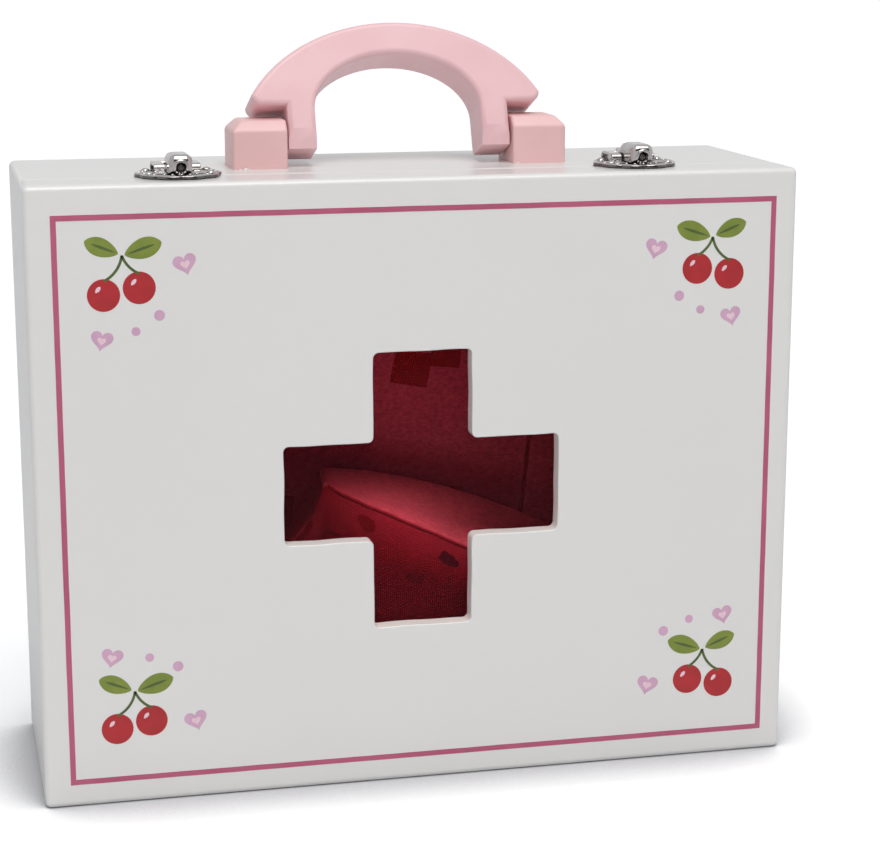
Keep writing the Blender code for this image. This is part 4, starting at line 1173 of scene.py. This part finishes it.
grip_bm = outlined(grip_outline(), -GRIP_HALF, GRIP_HALF, "xzy")
for face_y in (-GRIP_HALF, GRIP_HALF):
    slant = Vector((0, math.copysign(FACET_HIGH, face_y), -FACET_DEEP)).normalized()
    planed(grip_bm, (0, face_y, LEG_END + FACET_HIGH), slant)
outline = []
for face_y in (-GRIP_HALF, GRIP_HALF):
    outline += edges_where(grip_bm, lambda p: near(p.y, face_y))
soften(grip_bm, [edge for edge in outline if edge.calc_face_angle(0) > 0.5], 2.1, 6)
moved(grip_bm, PIVOT, Matrix.Rotation(-LEAN, 4, "X"))
grip = finished("handle_arch", grip_bm, pink_paint, "handle", ["handle_grip"])

# %% [markdown]
# ### Blocks
#
# Each block is a cube with a wide chamfer on three of its top edges and a light
# sanding on all of them. The chamfer is what the grip's shoulders rest on.


# %% Blocks
BLOCK_IN, BLOCK_OUT = 37.8, 55.8
BLOCK_FOOT, BLOCK_TOP = 200.02, 215.6
BLOCK_CHAMFER = 3.2


def handle_block(side):
    inner = side * BLOCK_IN
    low_x, high_x = sorted((inner, side * BLOCK_OUT))
    bm = block((low_x, -8, BLOCK_FOOT), (high_x, 12, BLOCK_TOP))
    top = edges_where(bm, lambda p: near(p.z, BLOCK_TOP))
    top = [edge for edge in top if not all(near(vert.co.x / MM, inner) for vert in edge.verts)]
    soften(bm, top, BLOCK_CHAMFER, 1)
    foot = set(edges_where(bm, lambda p: near(p.z, BLOCK_FOOT)))
    soften(bm, [edge for edge in bm.edges if edge not in foot], 0.9, 4)
    return bm


for word, side in (("left", -1), ("right", 1)):
    finished(f"pivot_block_{word}", handle_block(side), block_paint, "tray",
             [f"handle_block_{word}"])


# %% Glue left at the foot of a block
def glue_chip(x, y, size, seed):
    bm = bmesh.new()
    bmesh.ops.create_icosphere(bm, subdivisions=3, radius=size * MM)
    for vert in bm.verts:
        vert.co *= 1 + 0.45 * noise.noise(vert.co * 1400 + Vector((seed, 0, 0)))
        vert.co.z *= 0.6
    return moved(bm, (x, y, 200.1))


chips = [glue_chip(-53.6, -9.0, 0.55, 1), glue_chip(-51.9, -8.9, 0.8, 4),
         glue_chip(-50.9, -8.6, 0.45, 7), glue_chip(39.3, -8.3, 0.5, 9)]
finished("glue_chips", together(*chips), white_paint, "tray", smooth=60)


# %% Handle pins
def smooth_copy(name, nodes, material, body, smooth=35):
    """A clean, smoothly shaded copy of pieces of the frame."""
    shapes = []
    for node in nodes:
        bm = bmesh.new()
        bm.from_mesh(frame["nodes"][node].data)
        bmesh.ops.remove_doubles(bm, verts=bm.verts, dist=0.002 * MM)
        shapes.append(bm)
    return finished(name, together(*shapes), material, body, nodes, smooth)


smooth_copy("pivot_pins", ["handle_pin_left", "handle_pin_right"], zinc, "tray")

# %% [markdown]
# ## Box latches
#
# Each latch has two stamped half-oval plates with scalloped edges, nailed on
# each side of the seam, a hood hinged to the rear one and a ball on the front
# one. A circle with moved points gives the scallops, repeated extrusions press
# the rims and grooves, and curls and beads ornament the middle. The hood is a
# rounded block, hollowed out, with a round mouth for the ball. Two lugs beside
# it hold its pin.

# %% Stamped plates
PLATE_Z = 200.3
SEAM_Y = -22.0
LATCH_X = 75.3
PLATE_HALF, PLATE_DEEP = 13.75, 13.7
SEAM_GAP = 0.15
PLATE_STEPS = ((0.1, 0.8), (0.35, 0.95), (0.75, 1.0), (1.2, 0.95), (1.5, 0.66), (1.8, 0.5),
               (2.1, 0.62), (2.4, 0.92), (2.8, 1.0), (3.2, 0.9), (3.6, 0.58), (4.0, 0.5))


def scalloped(direction):
    """Half of a scalloped oval, straight along the seam."""
    bm = disc(1, 1, 240, plane="xy")
    for vert in bm.verts:
        angle = math.atan2(vert.co.y, vert.co.x)
        swell = 1 - 0.055 * (1 - abs(math.cos(5 * angle)))
        vert.co.x = PLATE_HALF * math.cos(angle) * swell * MM
        deep = (PLATE_DEEP + SEAM_GAP) * math.sin(angle) * swell
        vert.co.y = (deep + direction * SEAM_GAP) * MM
    bmesh.ops.bisect_plane(bm, geom=everything(bm), plane_co=(0, direction * SEAM_GAP * MM, 0),
                           plane_no=(0, -direction, 0), clear_outer=True)
    return bm


def plate_shape(direction):
    """Press two raised rims and a sunk middle into the scalloped blank.

    Each of PLATE_STEPS is the distance from the edge and the height there.
    """
    bm = scalloped(direction)
    bmesh.ops.remove_doubles(bm, verts=bm.verts, dist=0.04 * MM)
    pushed(bm, bm.faces[:], (0, 0, 0.62))
    bmesh.ops.recalc_face_normals(bm, faces=bm.faces)
    face = max(bm.faces, key=lambda item: item.calc_center_median().z)
    before = 0.0
    for inset, z in PLATE_STEPS:
        face = bmesh.ops.extrude_discrete_faces(bm, faces=[face])["faces"][0]
        for vert in face.verts:
            across = (PLATE_HALF - inset) / (PLATE_HALF - before)
            reach = (PLATE_DEEP - 2 * inset) / (PLATE_DEEP - 2 * before)
            away = abs(vert.co.y / MM) - SEAM_GAP - before
            vert.co.x *= across
            vert.co.y = direction * (SEAM_GAP + inset + away * reach) * MM
            vert.co.z = z * MM
        before = inset
    bmesh.ops.recalc_face_normals(bm, faces=bm.faces)
    return bm


def scroll(x, y, radius, start, turn, thick=0.3):
    """A small raised curl: a circle spun round an upright axis."""
    bm = bmesh.new()
    bmesh.ops.create_circle(bm, radius=thick * MM, segments=10)
    place = Matrix.Rotation(start, 4, "Z") @ Matrix.Translation((radius * MM, 0, 0))
    bmesh.ops.transform(bm, matrix=place @ Matrix.Rotation(math.pi / 2, 4, "X"), verts=bm.verts)
    bmesh.ops.spin(bm, geom=bm.verts[:] + bm.edges[:], axis=(0, 0, 1), cent=(0, 0, 0), angle=turn,
                   steps=16)
    return moved(closed(bm, open_edges(bm)), (x, y, 0.95))


def ornaments(direction):
    """Curls at both ends of a plate and a row of small beads between them."""
    shapes = []
    for side in (-1, 1):
        start = 0 if side > 0 else math.pi
        turn = math.radians(250) * side * direction
        shapes.append(scroll(side * 10.9, direction * 2.0, 1.15, start, turn))
        shapes.append(scroll(side * 8.3, direction * 7.6, 0.95, start, turn, 0.27))
    for number in range(5):
        angle = math.radians(50 + 20 * number)
        bm = bmesh.new()
        bmesh.ops.create_icosphere(bm, subdivisions=2, radius=0.5 * MM)
        shapes.append(moved(bm, (7.8 * math.cos(angle), direction * (0.9 + 8.6 * math.sin(angle)),
                                 0.85)))
    return shapes


print("plate builders ready")


# %% Hood, ball and lugs
HOOD_HALF = 3.7
HOOD_FRONT, HOOD_BACK = -20.0, -2.2
HOOD_TOP, HOOD_LOW = 4.3, -1.6
HOOD_SHEET = 0.55
MOUTH_RADIUS, MOUTH_Z = 1.6, 0.3


def hood_shell():
    """A pressed hood: a block with round edges, opened below and behind."""
    bm = block((-HOOD_HALF, HOOD_FRONT, HOOD_LOW), (HOOD_HALF, HOOD_BACK, HOOD_TOP))
    slope_foot = Vector((0, HOOD_BACK, 1.6))
    slope = (slope_foot - Vector((0, HOOD_BACK - 5, HOOD_TOP))).normalized()
    planed(bm, slope_foot, (0, -slope.z, slope.y))
    crown = edges_where(bm, lambda p: p.z > 1.5)
    crown = [edge for edge in crown if all(near(vert.co.x, edge.verts[0].co.x) for vert in edge.verts)
             or all(near(vert.co.y / MM, HOOD_FRONT) for vert in edge.verts)]
    upright = edges_where(bm, lambda p: near(p.y, HOOD_FRONT) and near(abs(p.x), HOOD_HALF))
    soften(bm, crown + upright, 2.2, 8)
    open_faces = [item for item in bm.faces if item.normal.z < -0.99
                  or (item.normal.y > 0.99 and item.calc_center_median().y > -2.3 * MM)]
    bmesh.ops.delete(bm, geom=open_faces, context="FACES")
    bmesh.ops.solidify(bm, geom=bm.faces[:], thickness=HOOD_SHEET * MM)
    bmesh.ops.recalc_face_normals(bm, faces=bm.faces)
    return bm


def mouth_collar():
    """Half a ring of round wire above the mouth."""
    bm = bmesh.new()
    bmesh.ops.create_circle(bm, radius=0.55 * MM, segments=14)
    bmesh.ops.translate(bm, vec=((MOUTH_RADIUS + 0.45) * MM, 0, 0), verts=bm.verts)
    bmesh.ops.spin(bm, geom=bm.verts[:] + bm.edges[:], axis=(0, 1, 0), cent=(0, 0, 0),
                   angle=-math.pi, steps=30)
    return moved(closed(bm, open_edges(bm)), (0, HOOD_FRONT, MOUTH_Z))


def hood_shape():
    """The shell with its round mouth, its collar and the tongue rolled round the pin."""
    radius = MOUTH_RADIUS
    mouth = arc((0, MOUTH_Z), (radius, radius), 0, math.pi, 24) + [(-radius, -3), (radius, -3)]
    bm = combined(hood_shell(), outlined(mouth, HOOD_FRONT - 1, HOOD_FRONT + 1.5, "xzy"))
    sill = [edge for edge in bm.edges if edge.calc_face_angle(0) > 0.9
            and all(vert.co.y < -18.2 * MM and vert.co.z > -1.5 * MM for vert in edge.verts)]
    soften(bm, sill, 0.16, 2)
    roll = arc((0, 0), (1.6, 1.6), math.radians(150), math.radians(450), 36)
    tongue = outlined([(-3.0, 1.6), (-3.0, 0.8)] + roll, -2.7, 2.7, "yzx")
    return together(bm, mouth_collar(), tongue)


def lug_shape(sign):
    """A flat-topped lug beside the hood that holds its pin, hollowed on the outside."""
    low, high = sorted((sign * 4.2, sign * 7.4))
    back = arc((11.0, 1.9), (2.1, 1.6), 0, math.pi / 2, 10)
    front = arc((2.4, 2.0), (1.7, 1.5), math.pi / 2, math.pi, 10)
    bm = outlined([(13.1, 0.4)] + back + front + [(0.7, 0.4)], low, high, "yzx")
    outer = [max(bm.faces, key=lambda item: item.calc_center_median().x * sign)]
    rim = outer[0].edges[:]
    bmesh.ops.inset_region(bm, faces=outer, thickness=0.75 * MM, depth=0)
    bmesh.ops.inset_region(bm, faces=outer, thickness=0.25 * MM, depth=-1.1 * MM)
    soften(bm, [edge for edge in rim if edge.is_valid and edge.verts[0].co.z > 0.6 * MM], 0.3, 2)
    bmesh.ops.recalc_face_normals(bm, faces=bm.faces)
    return bm


print("hood builder ready")


# %% Latches on both sides
PIN_Y, PIN_Z = -11.5, 203.2
BALL_Y, BALL_Z, BALL_RADIUS = -29.55, 203.4, 1.7
POST = ((0, 0.3), (1.5, 0.3), (1.1, 0.8), (0.9, 2.2), (0, 2.2))


def latch(word, side):
    x = side * LATCH_X
    rear = together(plate_shape(1), lug_shape(-1), lug_shape(1), *ornaments(1))
    moved(rear, (x, SEAM_Y, PLATE_Z))
    finished(f"latch_plate_rear_{word}", rear, chrome, "tray",
             [f"latch_rear_plate_{word}"], smooth=50)
    front = together(plate_shape(-1), *ornaments(-1))
    moved(front, (x, SEAM_Y, PLATE_Z))
    ball = bmesh.new()
    bmesh.ops.create_uvsphere(ball, u_segments=32, v_segments=20, radius=BALL_RADIUS * MM)
    moved(ball, (x, BALL_Y, BALL_Z))
    post = moved(lathed(POST, 24), (x, BALL_Y, PLATE_Z))
    finished(f"latch_plate_front_{word}", together(front, post), chrome, "lid",
             [f"latch_catch_plate_{word}"], smooth=50)
    finished(f"latch_ball_{word}", ball, shaded_ball_steel, "lid", smooth=50)
    hood = moved(hood_shape(), (x, PIN_Y, PIN_Z))
    finished(f"latch_hood_{word}", hood, chrome, f"hasp_{word}",
             [f"latch_hasp_{word}"], smooth=50)


for word, side in (("left", -1), ("right", 1)):
    latch(word, side)
smooth_copy("latch_pins", ["latch_pin_left", "latch_pin_right"], chrome, "tray")


# %% Nails
HEAD_RADIUS, HEAD_HIGH = 1.4, 0.9
NAIL_STEP, NAIL_Z = 9.7, 201.25


def nail_shape():
    """A round head on a straight shank, lathed in one."""
    profile = [(0, HEAD_HIGH)] + [(HEAD_RADIUS * math.sin(turn), HEAD_HIGH * math.cos(turn))
                                  for turn in (0.25, 0.5, 0.8, 1.1, 1.35, 1.57)]
    return lathed(profile + [(1.3, -0.08), (0.6, -0.1), (0.6, -6.0), (0, -6.8)], 28)


for word, body, y in (("rear", "tray", -16.4), ("front", "lid", -27.6)):
    nails = [moved(nail_shape(), (side * LATCH_X + step, y, NAIL_Z))
             for side in (-1, 1) for step in (-NAIL_STEP, NAIL_STEP)]
    finished(f"latch_nails_{word}", together(*nails), chrome, body,
             [f"latch_nail_{word}_{number}" for number in (1, 2, 3, 4)], smooth=50)

# %% [markdown]
# ## Hinges and screws
#
# The two butt hinges are let in flush with the bottom, so they only show from
# below or behind. Clean copies of the frame's leaves, with smooth barrels, are
# enough here.

# %% Hinges
for body in ("tray", "lid"):
    leaves = [f"hinge_leaf_{body}_left", f"hinge_leaf_{body}_right"]
    smooth_copy(f"hinge_leaves_{body}", leaves, zinc, body)
    screws = [f"hinge_screw_{body}_{number}" for number in (1, 2, 3, 4)]
    smooth_copy(f"hinge_screws_{body}", screws, zinc, body)
smooth_copy("hinge_pins", ["hinge_pin_left", "hinge_pin_right"], zinc, "tray")
smooth_copy("block_screws", [f"block_screw_{number}" for number in (1, 2, 3, 4)], zinc, "tray")

# %% [markdown]
# ## Folded cloth
#
# Inside stands a cotton cloth, folded in zigzag and wrapped once round. Its
# top slopes down to the right, and its left end has slumped. It starts as one
# flat grid, which gives the weave its UV map, and every point is then laid
# along the folding line. A Solidify modifier gives the cotton its thickness.

# %% Cloth folding line
CLOTH_LEFT, CLOTH_RIGHT = -60.0, 82.0
CLOTH_END = -29.4
CLOTH_FLOOR = 8.2
CLOTH_FRONT_Y, CLOTH_BACK_Y = -17.6, 13.6
HEM_POINT = (-17.3, 0.992)


def depth_share(y):
    """0 at the front of the cloth, 1 at its back."""
    return min(max((y - CLOTH_FRONT_Y) / (CLOTH_BACK_Y - CLOTH_FRONT_Y), 0.0), 1.0)


def left_end(y):
    """Where the top fold ends on the left: further right at the back."""
    return CLOTH_END + 4.0 * depth_share(y)


def cloth_top(x, y):
    """Height of the top fold: its front edge falls faster than its back edge."""
    x = max(x, left_end(y))
    run = x + 23.7
    front = 94.1 - (0.505 if run > 0 else 0.75) * run
    back = 95.4 - 0.06 * run - 0.003 * run * run if run > 0 else 95.4 - 0.6 * run
    return front + (back - front) * depth_share(y)


def end_drop(x, y):
    """How far the left end of the cloth has slumped below its top fold."""
    away = max(left_end(y) - x, 0.0)
    return 6.5 * away ** 0.5


def folding_line():
    """Points (y, share of the height) from the inner edge to the outer hem."""
    layers = [-9.0, -4.5, 0.5, 5.5]
    points = []
    for number, y in enumerate(layers):
        rise = [(y, share) for share in (0.0, 0.25, 0.5, 0.75, 0.93)]
        points += rise if number % 2 == 0 else rise[::-1]
        if number < len(layers) - 1:
            middle = (y + layers[number + 1]) / 2
            points.append((middle, 0.955 if number % 2 == 0 else -0.012))
    points += [(7.6, -0.01), (11.0, -0.012), (CLOTH_BACK_Y, 0.02)]
    points += [(CLOTH_BACK_Y, share) for share in (0.2, 0.4, 0.6, 0.8, 0.9, 0.955)]
    points += [(12.6, 0.985), (11.0, 0.997), (8.0, 1.0), (2.0, 1.0), (-5.0, 1.0), (-12.0, 1.0),
               (-16.0, 1.0), HEM_POINT, (CLOTH_FRONT_Y, 0.97)]
    points += [(CLOTH_FRONT_Y, share) for share in (0.9, 0.8, 0.7, 0.5, 0.3, 0.1, 0.0)]
    return points


print("folding line has", len(folding_line()), "points")


# %% Cloth
def folded_cloth():
    line = folding_line()
    height = 92.0
    lengths = [0.0]
    for (y0, s0), (y1, s1) in zip(line, line[1:]):
        lengths.append(lengths[-1] + math.hypot(y1 - y0, (s1 - s0) * height))
    total = lengths[-1]
    hem = lengths[line.index(HEM_POINT)]
    bm = bmesh.new()
    rows, columns = 300, 96
    bmesh.ops.create_grid(bm, x_segments=columns, y_segments=rows, size=0.5, calc_uvs=True)
    layer = bm.loops.layers.uv.verify()
    for item in bm.faces:
        for loop in item.loops:
            across = CLOTH_LEFT + (loop.vert.co.x + 0.5) * (CLOTH_RIGHT - CLOTH_LEFT)
            along = (loop.vert.co.y + 0.5) * total - hem
            loop[layer].uv = (across * MM, along * MM)
    for vert in bm.verts:
        x = CLOTH_LEFT + (vert.co.x + 0.5) * (CLOTH_RIGHT - CLOTH_LEFT)
        reach = (vert.co.y + 0.5) * total
        part = max(index for index, length in enumerate(lengths[:-1]) if length <= reach + 1e-6)
        share = (reach - lengths[part]) / (lengths[part + 1] - lengths[part])
        y = line[part][0] + (line[part + 1][0] - line[part][0]) * share
        up = line[part][1] + (line[part + 1][1] - line[part][1]) * share
        ripple = noise.noise(Vector((x * 0.045, y * 0.05, up * 3.0)))
        fine = noise.noise(Vector((x * 0.16, y * 0.2, up * 9.0)))
        top = cloth_top(x, y) - end_drop(x, y)
        z = CLOTH_FLOOR + (top - CLOTH_FLOOR) * up + 0.25 * fine * up
        vert.co = Vector((x + 0.3 * fine, y + (0.7 * ripple + 0.2 * fine) * (0.3 + 0.7 * up), z)) * MM
    for _ in range(2):
        bmesh.ops.smooth_vert(bm, verts=bm.verts, factor=0.5, use_axis_x=True, use_axis_y=True,
                              use_axis_z=True)
    return bm, total


cloth_bm, cloth_length = folded_cloth()
cloth = finished("folded_cotton", cloth_bm, cloth_cotton, "tray", ["folded_cloth"],
                 smooth=180, weighted=False)
cloth.data.uv_layers[0].name = "cloth"
body_thickness = cloth.modifiers.new("cotton_thickness", "SOLIDIFY")
body_thickness.thickness = 0.8 * MM
body_thickness.offset = 0
print("cloth", CLOTH_RIGHT - CLOTH_LEFT, "by", round(cloth_length), "mm flat")

# %% [markdown]
# ## Lining
#
# The inside of the back panel is covered with a thin printed cotton, pulled
# tight. It is a flat sheet with a very slight quilting, just off the panel.


# %% Lining
LINING_WIDE, LINING_HIGH = 232.0, 182.0
LINING_Y, LINING_MIDDLE_Z = 37.2, 100.0


def lining_shape():
    bm = bmesh.new()
    bmesh.ops.create_grid(bm, x_segments=90, y_segments=70, size=0.5, calc_uvs=True)
    layer = bm.loops.layers.uv.verify()
    for item in bm.faces:
        for loop in item.loops:
            place = (loop.vert.co.x * LINING_WIDE, LINING_MIDDLE_Z + loop.vert.co.y * LINING_HIGH)
            loop[layer].uv = (place[0] * MM, place[1] * MM)
    for vert in bm.verts:
        x, z = vert.co.x * LINING_WIDE, LINING_MIDDLE_Z + vert.co.y * LINING_HIGH
        puff = noise.noise(Vector((x * 0.03, z * 0.03, 2.2)))
        vert.co = Vector((x, LINING_Y + 0.35 * puff, z)) * MM
    return bm


lining = finished("back_lining", lining_shape(), lining_cotton, "tray", smooth=180,
                  weighted=False)
lining.data.uv_layers[0].name = "cloth"
lining_body = lining.modifiers.new("cotton_thickness", "SOLIDIFY")
lining_body.thickness = 0.5 * MM
lining_body.offset = 0

# %% Finish
print("all pieces made")
